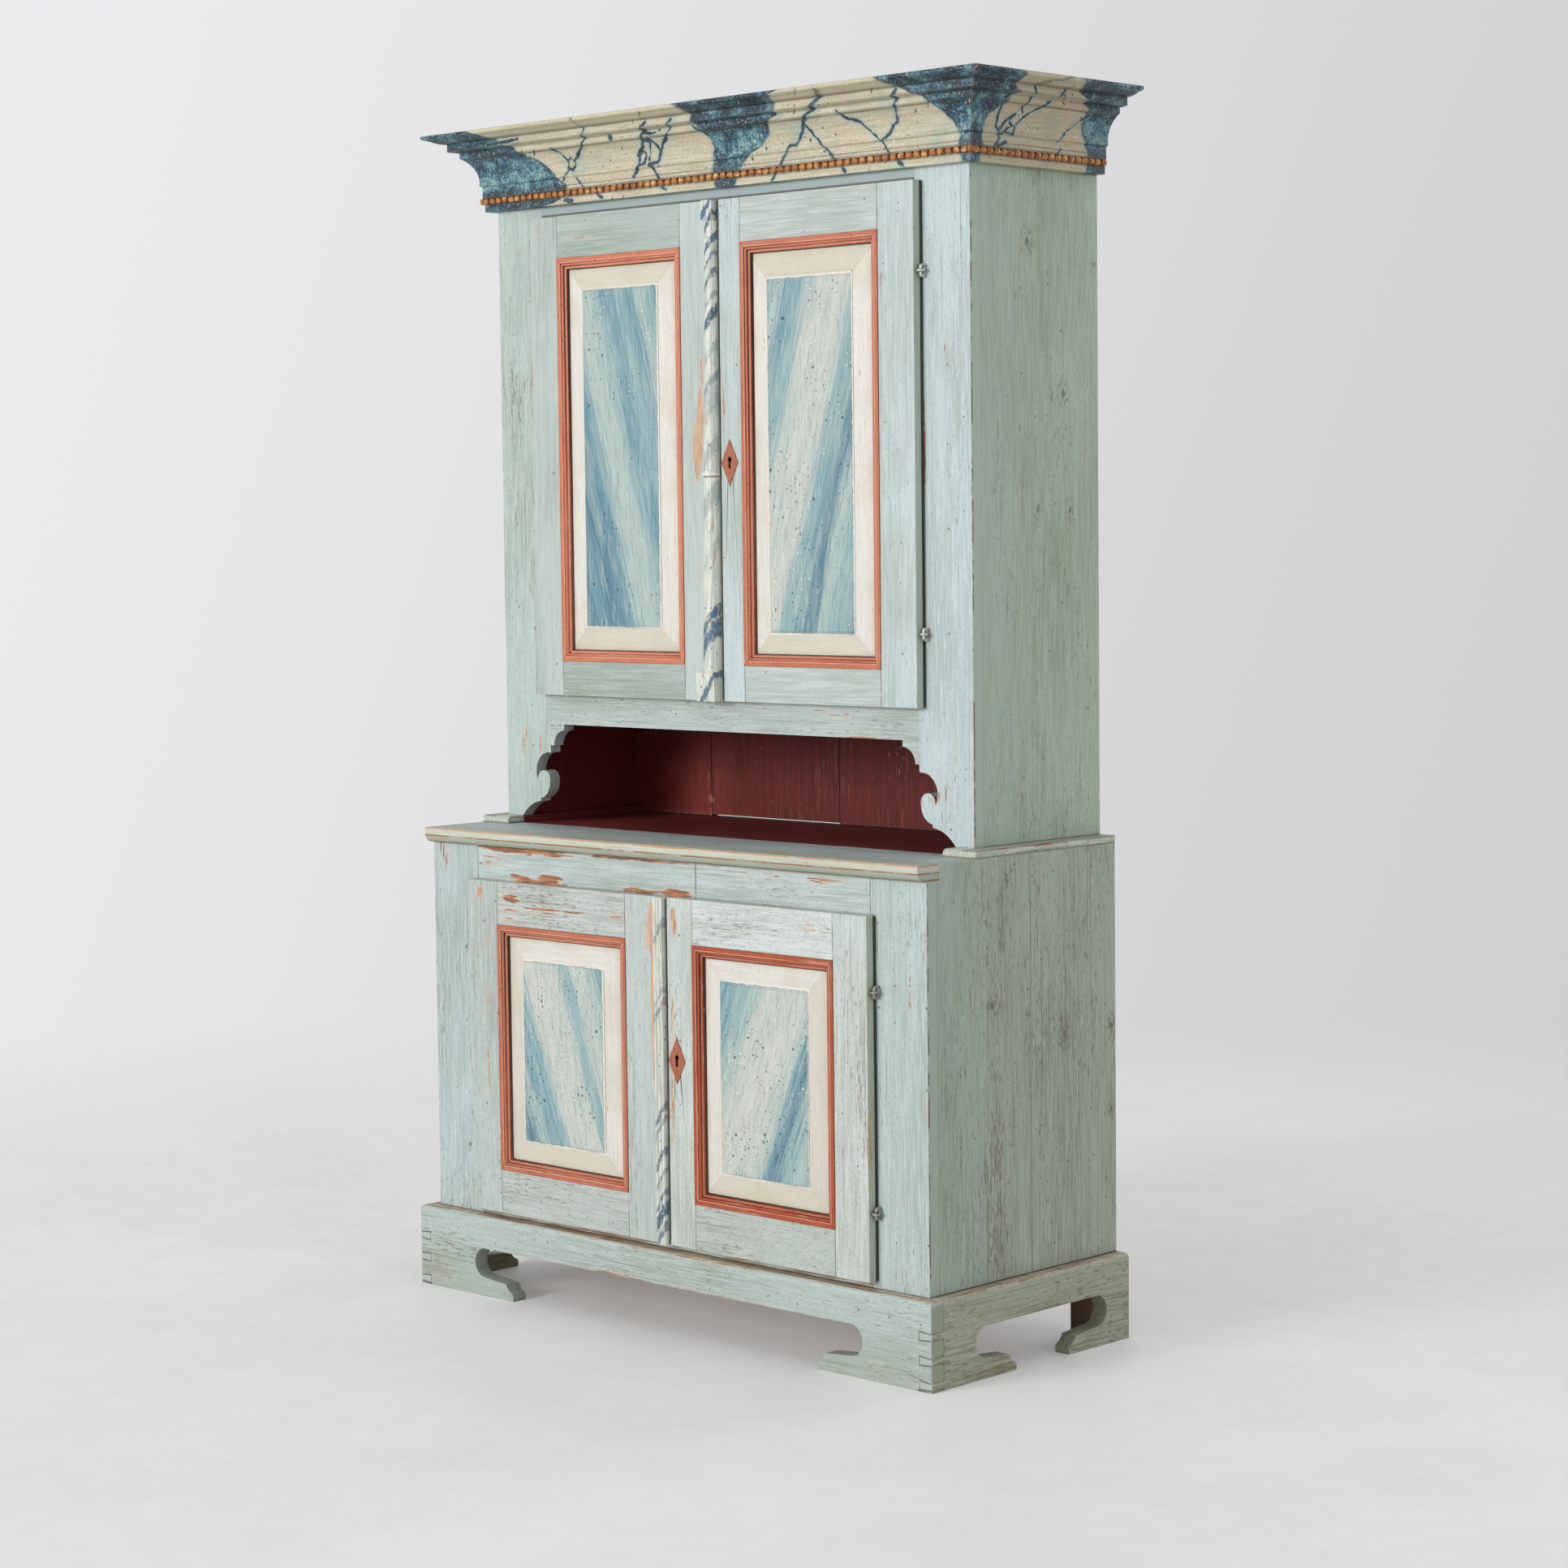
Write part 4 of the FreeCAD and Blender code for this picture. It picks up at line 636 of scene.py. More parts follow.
tree = Tree("niche_back", "z", 5)
bare, lines = wood(tree)
red = niche_red(tree)
for coat in (red, bare):
    parted(coat, (-343, -17, 309))
chipped = (tree.noise((5, 5, 14), 3, 83) - 0.5) * 1.6 + tree.spots([
    (-344, 464, 870, 8, 30, 30, 0.36), (-350, 464, 930, 5, 30, 70, 0.2),
    (-20, 464, 1000, 5, 30, 60, 0.2), (130, 464, 960, 34, 30, 50, 0.2),
    (-560, 464, 846, 700, 30, 4, 0.26),
])
red.lay(chipped.rising(0.3, 0.38) * 0.75, (172, 112, 84))
shown = tree.z.falling(NICHE_HIGH - 1, NICHE_HIGH) * tree.y.falling(481.5, 481.8)
colour = Coat(tree, shown, bare, red).grimed_and_shaded(0.6, 20)
tree.finish(colour, lines * 0.2 + 0.5, lines * 0.12, specular=0.35)

tree = Tree("upper_floor", "x", 6)
bare, lines = wood(tree)
red = niche_red(tree)
under = tree.z.falling(NICHE_HIGH + 0.2, NICHE_HIGH + 0.6)
tree.finish(tree.mix(under, bare, red), lines * 0.2 + 0.6, lines * 0.12)

paint(
    "lower_stile_left", "z", 7, tones=(-12, -8, -4), wear=0.02, edge_wear=0.24,
    spots=[
        (-585, 0, 800, 26, 20, 34, 0.24), (-560, 0, 775, 20, 20, 40, 0.24),
        (-500, 0, 640, 12, 20, 40, 0.26), (-503, 0, 560, 8, 20, 90, 0.26),
        (-488, 0, 780, 14, 20, 16, 0.3), (-545, 0, 560, 20, 20, 60, 0.16),
    ],
    flecks=0.85, washes=[SIDE_EDGES["lower"]], inner=behind_face(FRAME_THICK),
)
paint(
    "lower_stile_right", "z", 8.4, tones=(-9, -6, -3), wear=0.02,
    washes=[
        (door_line(487, 158, 756), SHADE_BLACK),
        SIDE_EDGES["lower"],
        (arris_line(LOWER_FACE), (96, 70, 56)),
    ],
    edge_wear=0.3,
    spots=[
        (598, 0, 500, 4, 14, 330, 0.1), (494, 0, 700, 5, 14, 120, 0.26),
        (560, 0, 640, 30, 20, 40, 0.16),
    ],
    flecks=0.7, inner=behind_face(FRAME_THICK),
)
paint(
    "lower_rail", "x", 8, tones=(-3, -3, 0), wear=0.02, seams=(-479, 79, 479),
    spots=[
        (-400, 0, 813, 110, 20, 9, 0.6), (-320, 0, 812, 130, 20, 9, 0.5),
        (-60, 0, 814, 240, 20, 5, 0.46), (-370, 0, 764, 46, 20, 8, 0.5),
        (-290, 0, 767, 44, 20, 11, 0.6), (-60, 0, 759, 80, 20, 8, 0.5), (30, 0, 760, 60, 20, 10, 0.58),
        (-330, 0, 757, 160, 20, 4, 0.42), (-440, 0, 800, 60, 20, 50, 0.24),
        (300, 0, 806, 240, 20, 8, 0.26), (300, 0, 755, 200, 20, 4, 0.26),
    ],
    flecks=0.7, inner=behind_face(FRAME_THICK),
)
paint(
    "lower_sides", "z", 9, tones=(-23, -25, -37), wear=-0.05, edge_wear=0.24,
    spots=[
        (599, 150, 620, 8, 50, 40, 0.08), (599, 240, 720, 8, 25, 50, 0.14),
        (599, 270, 806, 8, 130, 4, 0.3), (599, 270, 814, 8, 200, 5, 0.2),
        (599, 100, 330, 8, 30, 60, 0.12), (599, 200, 320, 8, 20, 40, 0.14),
    ],
    flecks=1.05, inner=unpainted(inside_lower),
    knots=[
        (599, 346, 533, 12), (599, 160, 602, 10), (599, 470, 392, 7), (599, 470, 535, 9),
        (599, 195, 806, 6),
    ],
    washes=[
        (bluer(40, 160), (166, 188, 178)),
        (lambda tree: (tree.y - 257).abs().falling(0.8, 2.4) * 0.35, GRIME_AND_SHADE),
    ],
)

# Dark joint lines round the dovetails and pins, and the painted shadow where the ledge meets the case.
JOINT_AND_SHADOW_LINES = [(against_case, (84, 54, 40)), (dovetails, (66, 54, 44)), (pin_outlines, (66, 54, 44))]

paint(
    "base_front", "x", 10, tones=(-18, -17, -18), wear=0.02,
    washes=[
        (lambda tree: tree.z.falling(30, 110) * 0.35, (150, 154, 138)),
        (lambda tree: tree.x.abs().rising(624.2, 624.6) * 0.85, (150, 156, 134)),
        (ledge_worn, (204, 190, 164)),
        (ledge_streaks, (130, 82, 54)),
        *JOINT_AND_SHADOW_LINES,
    ],
    reach=5,
    spots=[
        (0, -26, 147, 640, 24, 9, 0.4), (-40, -26, 88, 380, 12, 7, 0.3),
        (-560, -26, 30, 80, 12, 30, 0.14), (560, -26, 20, 70, 12, 30, 0.14),
    ],
    flecks=0.95, inner=behind_face(4), woods=WORN_PINE,
)
paint(
    "base_sides", "y", 11, tones=(-26, -34, -52), wear=0.02,
    washes=[
        (lambda tree: tree.y.falling(-25.6, -25.2) * 0.85, (172, 186, 180)),
        (ledge_worn, (200, 192, 174)),
        (ledge_streaks, (124, 92, 68)),
        *JOINT_AND_SHADOW_LINES,
    ],
    reach=5, inner=behind_face(481.9),
    spots=[(625, 200, 147, 14, 300, 8, 0.42), (625, 200, 20, 12, 260, 20, 0.12)],
    flecks=1.15, woods=WORN_PINE,
)


def on_counter_back(tree):
    """The counter inside the niche, up to a ragged edge."""
    edge = tree.noise(40, 2, 4) * 8
    return (tree.y + edge).rising(158, 163) * tree.z.rising(843, 843.5) * tree.x.abs().falling(546, 547)


tree = Tree("counter_top", "x", 12)
colour, rough, height = painted(
    tree, (-2, -2, 3), wear=0.02, edge_wear=0.3, flecks=0.9,
    spots=[(0, 24, 844, 600, 12, 6, 0.24), (0, 155, 844, 470, 6, 6, 0.5), (-200, 70, 844, 240, 20, 6, 0.2)],
)
streaks = tree.grained(420, 12, 3, 7, rough=0.6)
colour.lay(streaks.rising(0.44, 0.62) * 0.4, (150, 162, 160))
colour.lay(tree.z.falling(822.2, 822.6).max(tree.y.rising(481.2, 481.8)), wood(tree)[0])
colour.lay(on_counter_back(tree), niche_red(tree))
tree.finish(colour.grimed_and_shaded(0.6), rough, height)

paint(
    "nosing", "x", 13, tones=(-9, -18, -26), edge_wear=0.3,
    spots=[
        (0, -20, 842, 640, 7, 3, 0.4), (0, -14, 818, 640, 9, 3, 0.36),
        (-560, -20, 830, 60, 20, 12, 0.16), (-300, -12, 822, 240, 12, 7, 0.2),
    ],
    washes=[
        (lambda tree: tree.z.between(831.5, 842, 1) * 0.4, (220, 218, 200)),
        (lambda tree: tree.z.falling(828, 829.5) * 0.5, (160, 170, 146)),
        (broken_line(842.0, 0.4, 0.9), (196, 140, 92)),
        (broken_line(830, 0.7, 0.85), (138, 92, 62)),
        (broken_line(817.5, 1.6, 0.85), (128, 92, 64)),
    ],
    flecks=0.6,
)
paint(
    "runners", "y", 14, inner=behind_face(481.9),
    red=lambda tree: tree.x.abs().falling(545, 548) * tree.y.between(158, 481.5, 0.5),
    tones=(6, 2, -8), wear=0.02, edge_wear=0.4,
    washes=[
        (lambda tree: (tree.z - 845).abs().falling(0.8, 2.2) * 0.6, (96, 76, 58)),
        (
            lambda tree: (tree.z - 856).abs().falling(0.6, 2.0) * tree.x.abs().rising(566, 568) * 0.5,
            (96, 76, 58),
        ),
    ],
    spots=[
        (-563, 130, 848, 40, 16, 6, 0.14), (563, 130, 848, 40, 16, 6, 0.16),
        (599, 300, 856, 8, 200, 4, 0.18),
    ],
    flecks=1.0,
)
# dark_x and dark_z carry painted shade, for the pieces under the base.
for name, grain, shade_share in (("bare_x", "x", 0.0), ("dark_x", "x", 0.7), ("dark_z", "z", 0.7)):
    bare_wood(name, grain, 20, shade_share)
bare_wood("lower_back", "z", 24, joints=(-288.5, 0, 288.5))

tree = Tree("lower_floor", "x", 21)
bare, lines = wood(tree)
scraped = tree.grained(90, 4, 3, 1).rising(0.42, 0.6)
edge_paint = tree.mix(scraped, (186, 198, 190), (150, 122, 96))
colour = Coat(tree, tree.y.falling(2, 4), bare, edge_paint)
tree.finish(colour.grimed_and_shaded(0.6, 4), lines * 0.2 + 0.6, lines * 0.12)

# ---- Doors ----

UPPER_DOOR_FACE = 135
LOWER_DOOR_FACE = -20
DOOR_THICK = 26

# Each door's frame: shift of its paint's tones, and its worn spots
DOOR_FRAMES = {
    "upper_left_door_stiles": ((-9, -10, -10), [
        (-38, 135, 1518, 15, 10, 58, 1.0), (-31, 135, 1575, 10, 10, 62, 0.85),
        (-27, 135, 1650, 7, 10, 50, 0.36), (-32, 135, 1350, 6, 10, 120, 0.3),
        (-462, 140, 1700, 6, 20, 260, 0.25), (-440, 135, 1915, 20, 10, 24, 0.24),
    ]),
    "upper_right_door_stiles": ((2, 3, 8), [
        (26, 135, 1590, 8, 10, 90, 0.34), (24, 135, 1290, 6, 10, 160, 0.26),
        (50, 135, 1455, 18, 10, 18, 0.22), (30, 135, 1330, 9, 10, 60, 0.24),
    ]),
    "lower_left_door_stiles": ((-12, -14, -13), [
        (-26, -20, 690, 12, 10, 60, 0.46), (-13, -20, 700, 10, 10, 56, 0.85),
        (-9, -20, 560, 6, 10, 160, 0.8), (-448, -20, 735, 14, 10, 22, 0.42),
        (-440, -20, 530, 14, 10, 70, 0.24), (-436, -20, 420, 8, 10, 70, 0.36),
        (-440, -20, 640, 20, 10, 90, 0.2), (-440, -20, 230, 30, 10, 20, 0.2),
        (-60, -20, 600, 24, 10, 12, 0.24),
    ]),
    "lower_right_door_stiles": ((4, -1, -1), [
        (43, -20, 715, 12, 10, 44, 0.5), (37, -20, 540, 6, 10, 90, 0.4),
        (36, -20, 400, 6, 10, 90, 0.34), (486, -14, 400, 4, 12, 240, 0.3),
    ]),
    "upper_left_door_rails": ((-20, -20, -22), [
        (-340, 135, 1905, 60, 10, 12, 0.22), (-250, 135, 1095, 150, 10, 10, 0.18),
    ]),
    "upper_right_door_rails": ((5, 1, 4), [(190, 135, 1100, 60, 10, 20, 0.12)]),
    "lower_left_door_rails": ((-3, -9, -8), [
        (-370, -20, 728, 46, 10, 14, 0.46), (-330, -20, 708, 130, 10, 9, 0.34),
        (-100, -20, 712, 30, 10, 20, 0.3), (-240, -20, 714, 200, 10, 3, 0.4),
        (-380, -20, 690, 40, 10, 14, 0.24),
    ]),
    "lower_right_door_rails": ((14, 7, 10), [
        (360, -20, 728, 28, 10, 8, 0.32), (200, -20, 734, 60, 10, 10, 0.16),
    ]),
}
# Outer edges of each door's red moulding, x and z.
MOULDINGS = {
    "upper_left_door": (-390, -76, 1145, 1866),
    "upper_right_door": (69, 385, 1145, 1866),
    "lower_left_door": (-406, -75, 236, 679),
    "lower_right_door": (88, 413, 236, 679),
}


def edge_face(front):
    """How olive a door's outer edge is, from its face at this depth back."""
    return lambda tree: tree.facing("X") * tree.y.rising(front + 0.6, front + 1.6) * 0.5


def lip_gap(depth):
    """Painted shade: the black line where a door's lip meets the case's face."""
    return lambda tree: tree.facing("X") * tree.y.between(depth - 4.4, depth + 0.4, 0.6) * 0.94


def meeting_stile(tree):
    """The left door's inner stile, which is paler."""
    return tree.x.rising(-80, -72) * 0.22


def outer_arris(edge):
    """The broken brown line down a door's outer edge."""
    return lambda tree: (
        tree.x.falling(edge + 1.4, edge + 2.8)
        * tree.noise((30, 30, 46), 3, 67, rough=0.7).rising(0.46, 0.58)
        * 0.6
    )


# x and z of each lock's keyhole, and its face
KEYHOLES = [(40, 1493, UPPER_DOOR_FACE), (49, 478, LOWER_DOOR_FACE)]


def keyhole(x, z, face):
    """Painted shade: the dark inside of a keyhole."""
    return lambda tree: (
        (tree.x - x).abs().falling(7, 8)
        * (tree.z - z + 4).abs().falling(15, 16)
        * tree.y.rising(face + 0.1, face + 0.5)
    )


def low_rail(tree):
    """The lower doors' bottom rails, which are darker, more so on the right door."""
    return tree.z.falling(236, 240) * (tree.x.rising(-2, 2) * 0.24 + 0.12)


for number, (name, (shifted, spots)) in enumerate(DOOR_FRAMES.items()):
    upright = name.endswith("stiles")
    upper = name.startswith("upper")
    left, right = MOULDINGS[name.rsplit("_", 1)[0]][:2]
    face, case_face = (UPPER_DOOR_FACE, UPPER_FACE) if upper else (LOWER_DOOR_FACE, LOWER_FACE)
    if upright:
        washes = [(edge_face(face), (168, 178, 146)), (lip_gap(case_face), SHADE_BLACK)]
        if name.endswith("left_door_stiles"):
            washes.append((meeting_stile, (212, 224, 222)))
            washes.append((outer_arris(-463 if upper else -487), WORN_BROWN))
        else:
            washes.append((keyhole(*(KEYHOLES[0] if upper else KEYHOLES[1])), SHADE_BLACK))
    elif upper:
        washes = []
    else:
        washes = [(low_rail, (122, 136, 116))]
    paint(
        name, "z" if upright else "x", 60 + number * 2.3,
        tones=shifted, wear=-0.04 if upper else 0.0, edge_wear=0.24, flecks=0.35 if upper else 0.85,
        inner=behind_face(face + DOOR_THICK), spots=spots, washes=washes,
        seams=() if upright else (left, right), woods=OCHRE_PINE if upright else WORN_WOOD,
    )

# Edges of each panel's painted field, x and z.
FIELDS = {
    "upper_left_door": (-330, -140, 1208, 1806),
    "upper_right_door": (126, 322, 1202, 1800),
    "lower_left_door": (-344, -139, 295, 619),
    "lower_right_door": (149, 351, 296, 623),
}
DEEP = (66, 114, 136)
BLUE = (96, 140, 156)
SOFT = (136, 168, 172)
MIST = (170, 188, 182)
CHALK = (199, 201, 193)
# The slant of each field's brush strokes from upright in degrees, and the place of each tone across them
STROKES = {
    "upper_left_door": (
        16,
        [(16, DEEP), (56, BLUE), (84, DEEP), (138, BLUE), (156, MIST), (196, MIST), (216, SOFT), (240, BLUE),
         (268, SOFT), (300, BLUE), (318, MIST), (338, SOFT), (364, BLUE)],
    ),
    "upper_right_door": (
        -16,
        [(-376, BLUE), (-346, MIST), (-322, BLUE), (-292, SOFT), (-262, CHALK), (-200, CHALK), (-172, SOFT),
         (-126, DEEP), (-106, MIST), (-60, SOFT), (-22, BLUE)],
    ),
    "lower_left_door": (
        21,
        [(-215, BLUE), (-194, DEEP), (-170, MIST), (-144, BLUE), (-124, SOFT), (-104, CHALK), (-66, CHALK),
         (-40, CHALK), (-19, SOFT), (0, SOFT), (26, CHALK), (52, MIST), (76, BLUE), (92, SOFT)],
    ),
    "lower_right_door": (
        -22,
        [(-95, SOFT), (-66, BLUE), (-38, SOFT), (-16, MIST), (8, CHALK), (84, CHALK), (104, MIST),
         (126, BLUE), (146, DEEP), (164, SOFT), (184, MIST), (214, SOFT)],
    ),
}

# How each door's moulding is shifted from the common tones, in display values
MOULDING_TONES = {
    "upper_left_door": (3, 6, 6), "upper_right_door": (-8, -4, -4), "lower_left_door": (-17, -8, -7),
    "lower_right_door": (-33, -40, -50),
}


def inwards(tree, left, right, low, high):
    """How far a place is in from the nearer side of a rectangle, and from its nearer end."""
    from_side = (right - left) / 2 - (tree.x - (left + right) / 2).abs()
    return from_side, (high - low) / 2 - (tree.z - (low + high) / 2).abs()


def moulding_paint(door, shift):
    """Terracotta paint on the four mitred lengths round a panel: dark quirks in painted shade, rubbed
    arrises with painted highlights.
    """
    tree = Tree(door + "_moulding", shift=shift)
    from_side, from_end = inwards(tree, *MOULDINGS[door])
    upright = (from_end - from_side).rising(-0.2, 0.2)
    brush_z = tree.own((3.0, 3.0, 60), 3)
    brush_x = tree.own((60, 3.0, 3.0), 3, 5)
    brush = upright * brush_z + (1 - upright) * brush_x
    speck = tree.own(4, 2, 2)
    clouds = tree.own(70, 2)
    across = from_side.min(from_end) + (tree.own(14, 2, 8) - 0.5) * 1.2
    light, dark, faded = toned(MOULDING_TONES[door], ((206, 116, 84), (184, 93, 63), (204, 126, 96)))
    base = Coat(tree, (brush * 0.6 + speck * 0.5).rising(0.42, 0.7), light, dark)
    base.lay(clouds.rising(0.45, 0.7) * 0.4, faded)
    # Pale on the rounds: rubbed paint in streaks, with a painted highlight along the ridges.
    ridge_highlights = across.between(7.4, 9.2, 0.5).max(across.between(15.4, 16.8, 0.5))
    rubbed = (ridge_highlights * 0.3 + brush).rising(0.6, 0.74)
    base.lay(rubbed * 0.6, (226, 176, 146))
    # Painted shade in the two quirks and at the sight edge against the panel, and a dark joint line at the
    # outer edge.
    groove_shade_and_joint = across.between(9.8, 10.7, 0.5).max(across.between(14.3, 15.2, 0.5)) * 0.26
    groove_shade_and_joint = groove_shade_and_joint.max(across.between(-2, 0.7, 0.4) * 0.5).max(across.rising(18.9, 19.8) * 0.9)
    base.lay(groove_shade_and_joint * (0.7 + brush * 0.6), (58, 32, 24))
    mitre = (from_end - from_side).abs().falling(0.5, 1.4)
    base.lay(mitre * 0.6, (104, 48, 34))
    base.lay(tree.dots(22, 2.2, 0.2) * 0.7, (84, 46, 34))
    chalky = tree.own((8, 8, 26), 3, 9).rising(0.68, 0.76)
    base.lay(chalky * 0.35, (224, 204, 186))
    tree.finish(base.grimed_and_shaded(0.55, 6), brush * 0.25 + 0.38, brush * 0.12)


def panel_paint(door, shift, back):
    """Cream bevels round a marbled blue field, with flecks of dark and pale paint."""
    slant, tones = STROKES[door]
    upper = door.startswith("upper")
    worn = 4 if upper else 9
    tree = Tree(door + "_panel", shift=shift)
    wobble = (tree.own(9, 3) - 0.5) * 5
    from_side, from_end = (part + wobble for part in inwards(tree, *FIELDS[door]))
    depth = from_side.min(from_end)
    field = depth.rising(-0.5, 0.8)
    # The bevels
    upright = (from_end - from_side).rising(-0.2, 0.2)
    brush = upright * tree.own((3.4, 3.4, 90), 3) + (1 - upright) * tree.own((90, 3.4, 3.4), 3, 3)
    clouds = tree.own(90, 3, 6)
    speck = tree.own((4.5, 4.5, 6), 2, 7)
    streaks = (brush * 0.6 + speck * 0.4).rising(0.38, 0.68) * 0.8
    light, dark, yellow = toned((-worn,) * 3, ((231, 227, 219), (213, 208, 196), (212, 204, 184)))
    cream = Coat(tree, streaks, light, dark)
    cream.lay(clouds.rising(0.46, 0.7) * 0.5, yellow)
    cream.lay(depth.falling(-40, -24) * clouds.rising(0.3, 0.6) * 0.35, (188, 178, 152))
    scuffed = (tree.own((6, 6, 22), 3, 8) + depth.falling(-46, -34) * 0.12).rising(0.66, 0.76)
    cream.lay(scuffed * 0.55, (172, 146, 118))
    # The top and bottom bevels are darker and yellower than the upright ones; on the lower doors only the
    # bottom ones.
    level_bevels = (1 - upright) * 0.5
    if not upper:
        level_bevels = level_bevels * tree.z.falling(440, 460)
        cream.lay(upright * tree.x.abs().rising(340, 352) * 0.35, (190, 184, 164))
    cream.lay(level_bevels, (196, 188, 162))
    mitre = (from_end - from_side).abs().falling(0.5, 2.0)
    cream.lay(mitre * 0.3, (178, 166, 136))
    # The field
    rotated = {"Vector": tree.place, "Angle": math.radians(slant)}
    turned = tree.node("VectorRotate", rotated, rotation_type="Y_AXIS").outputs[0]
    across = tree.parts(turned)[0]
    drift = (tree.own((60, 60, 420), 2, place=turned) - 0.5) * 40
    strokes = (tree.own((5, 5, 190), 4, 4, place=turned, rough=0.7) - 0.5) * 80
    tone = tree.ramp(across + drift + strokes, tones, tones[0][0] - 20, tones[-1][0] + 20)
    washed = tree.own((16, 16, 120), 3, 12, place=turned)
    tone = tree.mix(washed.rising(0.4, 0.66) * 0.4, tone, MIST)
    hair = tree.own((2.8, 2.8, 80), 3, 11, place=turned, rough=0.65)
    upright_hair = tree.own((3.0, 3.0, 50), 2, 15)
    tone = tree.mix((hair * 0.6 + upright_hair * 0.5).rising(0.54, 0.72) * 0.4, tone, (206, 212, 202))
    tone = tree.mix((hair * 0.55 + upright_hair * 0.5).falling(0.4, 0.52) * 0.4, tone, (88, 128, 142))
    grit = tree.own((3.6, 3.6, 5), 2, 17)
    tone = tree.mix(grit.rising(0.54, 0.7) * 0.3, tone, (120, 138, 134))
    patches = tree.own((70, 70, 90), 3, 20)
    dark = tree.dots(10, 2.3, 0.3 if upper else 0.42, 2) * patches.rising(0.47, 0.58)
    dark = dark.max(tree.dots(34, 3.6, 0.4, 5) * patches.rising(0.4, 0.5))
    tone = tree.mix(dark * 0.85, tone, (40, 60, 66))
    splash = tree.own((46, 46, 80), 3, 33)
    flecks = tree.dots(9, 2.2, 0.3, 7) * splash.rising(0.56, 0.66)
    tone = tree.mix(flecks * 0.9, tone, (238, 234, 206))
    rim = depth.falling(1.0, 4.4) * field
    tone = tree.mix(rim * 0.4, tone, (128, 150, 152))
    colour = Coat(tree, field, cream, tone)
    # A pale line on the field's raised edge: paler paint with a painted highlight.
    ridge = depth.between(-2.6, 0.4, 0.6) * clouds.rising(0.36, 0.56)
    colour.lay(ridge * 0.55, (244, 238, 220))
    colour.lay(behind_face(back)(tree), wood(tree)[0])
    height = brush * 0.12 + hair * 0.1 + field * 0.15
    tree.finish(colour.grimed_and_shaded(0.8, 16), hair * 0.2 + 0.4, height)


for number, door in enumerate(MOULDINGS):
    moulding_paint(door, 80 + number * 3)
    back = 152 if door.startswith("upper") else -3
    panel_paint(door, 95 + number * 4, back)

# ---- Marbling: cornice, column and strip ----

NAVY = (14, 40, 56)
SLATE = (62, 112, 130)
MINT = (126, 164, 162)
CREAM = (206, 202, 180)
CREAM_DARK = (178, 170, 142)

# The painted edge of each blue patch: (z, place along the length).
LEFT_PATCH = [
    (1962, -425), (1975, -378), (1990, -362), (2006, -382), (2020, -394), (2040, -420), (2058, -456),
    (2070, -474), (2084, -500), (2100, -545),
]
MIDDLE_PATCH_LEFT = [
    (1962, 12), (1990, 8), (2006, 12), (2040, 17), (2057, 4), (2070, 0), (2084, 2), (2100, -24),
]
MIDDLE_PATCH_RIGHT = [
    (1962, 55), (1990, 72), (2006, 90), (2022, 126), (2040, 150), (2057, 162), (2070, 190), (2084, 198),
    (2100, 240),
]
RIGHT_PATCH = [
    (1962, 566), (1990, 564), (2006, 567), (2020, 560), (2035, 546), (2050, 532), (2062, 520),
    (2075, 496), (2086, 470), (2100, 450),
]
RETURN_PATCH = [
    (1962, 160), (1990, 163), (2010, 160), (2030, 166), (2045, 180), (2058, 196), (2072, 198),
    (2086, 190), (2100, 170),
]
RETURN_BACK_PATCH = [
    (1962, 434), (1990, 434), (2006, 426), (2030, 410), (2058, 402), (2072, 380), (2086, 350),
    (2100, 322),
]
FRONT_VEINS = [
    ([(165, 1984), (176, 2000), (195, 2018), (208, 2017), (218, 2026), (237, 2050), (252, 2060),
      (272, 2068), (290, 2078), (318, 2092)], 2.4),
    ([(237, 2050), (250, 2030), (270, 2009), (293, 1985)], 1.8),
    ([(322, 2062), (332, 2050), (358, 2042), (380, 2022), (395, 2010), (402, 2003), (416, 1984)], 1.5),
    ([(397, 2008), (419, 2018), (428, 2030), (438, 2035), (444, 2050), (454, 2065), (468, 2080)], 2.2),
    ([(-374, 2000), (-352, 2018), (-346, 2034), (-358, 2050), (-372, 2057)], 1.2),
    ([(-350, 2024), (-338, 2019), (-329, 2030), (-336, 2041), (-347, 2036)], 1.6),
    ([(-332, 2034), (-310, 2047), (-296, 2055), (-268, 2076), (-262, 2096)], 1.8),
    ([(-336, 2006), (-316, 1988)], 1.2),
    ([(-188, 1996), (-172, 2012), (-166, 2030), (-148, 2047), (-135, 2064), (-112, 2080)], 2.6),
    ([(-172, 2014), (-156, 2016), (-148, 2032), (-158, 2040), (-170, 2030)], 2.2),
    ([(-146, 2012), (-122, 2016), (-112, 2034), (-122, 2052), (-138, 2052)], 2.6),
    ([(-144, 2022), (-132, 2044), (-126, 2056)], 1.8),
    ([(-142, 2014), (-134, 2000), (-124, 1988)], 2.0),
    ([(-116, 2024), (-102, 2044), (-74, 2060), (-48, 2080)], 1.6),
    ([(-130, 2064), (-108, 2062), (-92, 2066)], 1.4), ([(-368, 1969), (-352, 1966)], 4.5),
    ([(-282, 1972), (-272, 1966)], 2.6), ([(-120, 1972), (-110, 1967)], 2.6),
    ([(144, 1964), (152, 1973)], 2.6), ([(306, 1972), (312, 1965)], 3.2),
    ([(430, 1972), (438, 1966)], 2.6), ([(-520, 2075), (-470, 2077), (-440, 2079)], 2.6),
    ([(-216, 2066), (-214, 2062)], 3.0), ([(-12, 2066), (14, 2050)], 2.0),
]
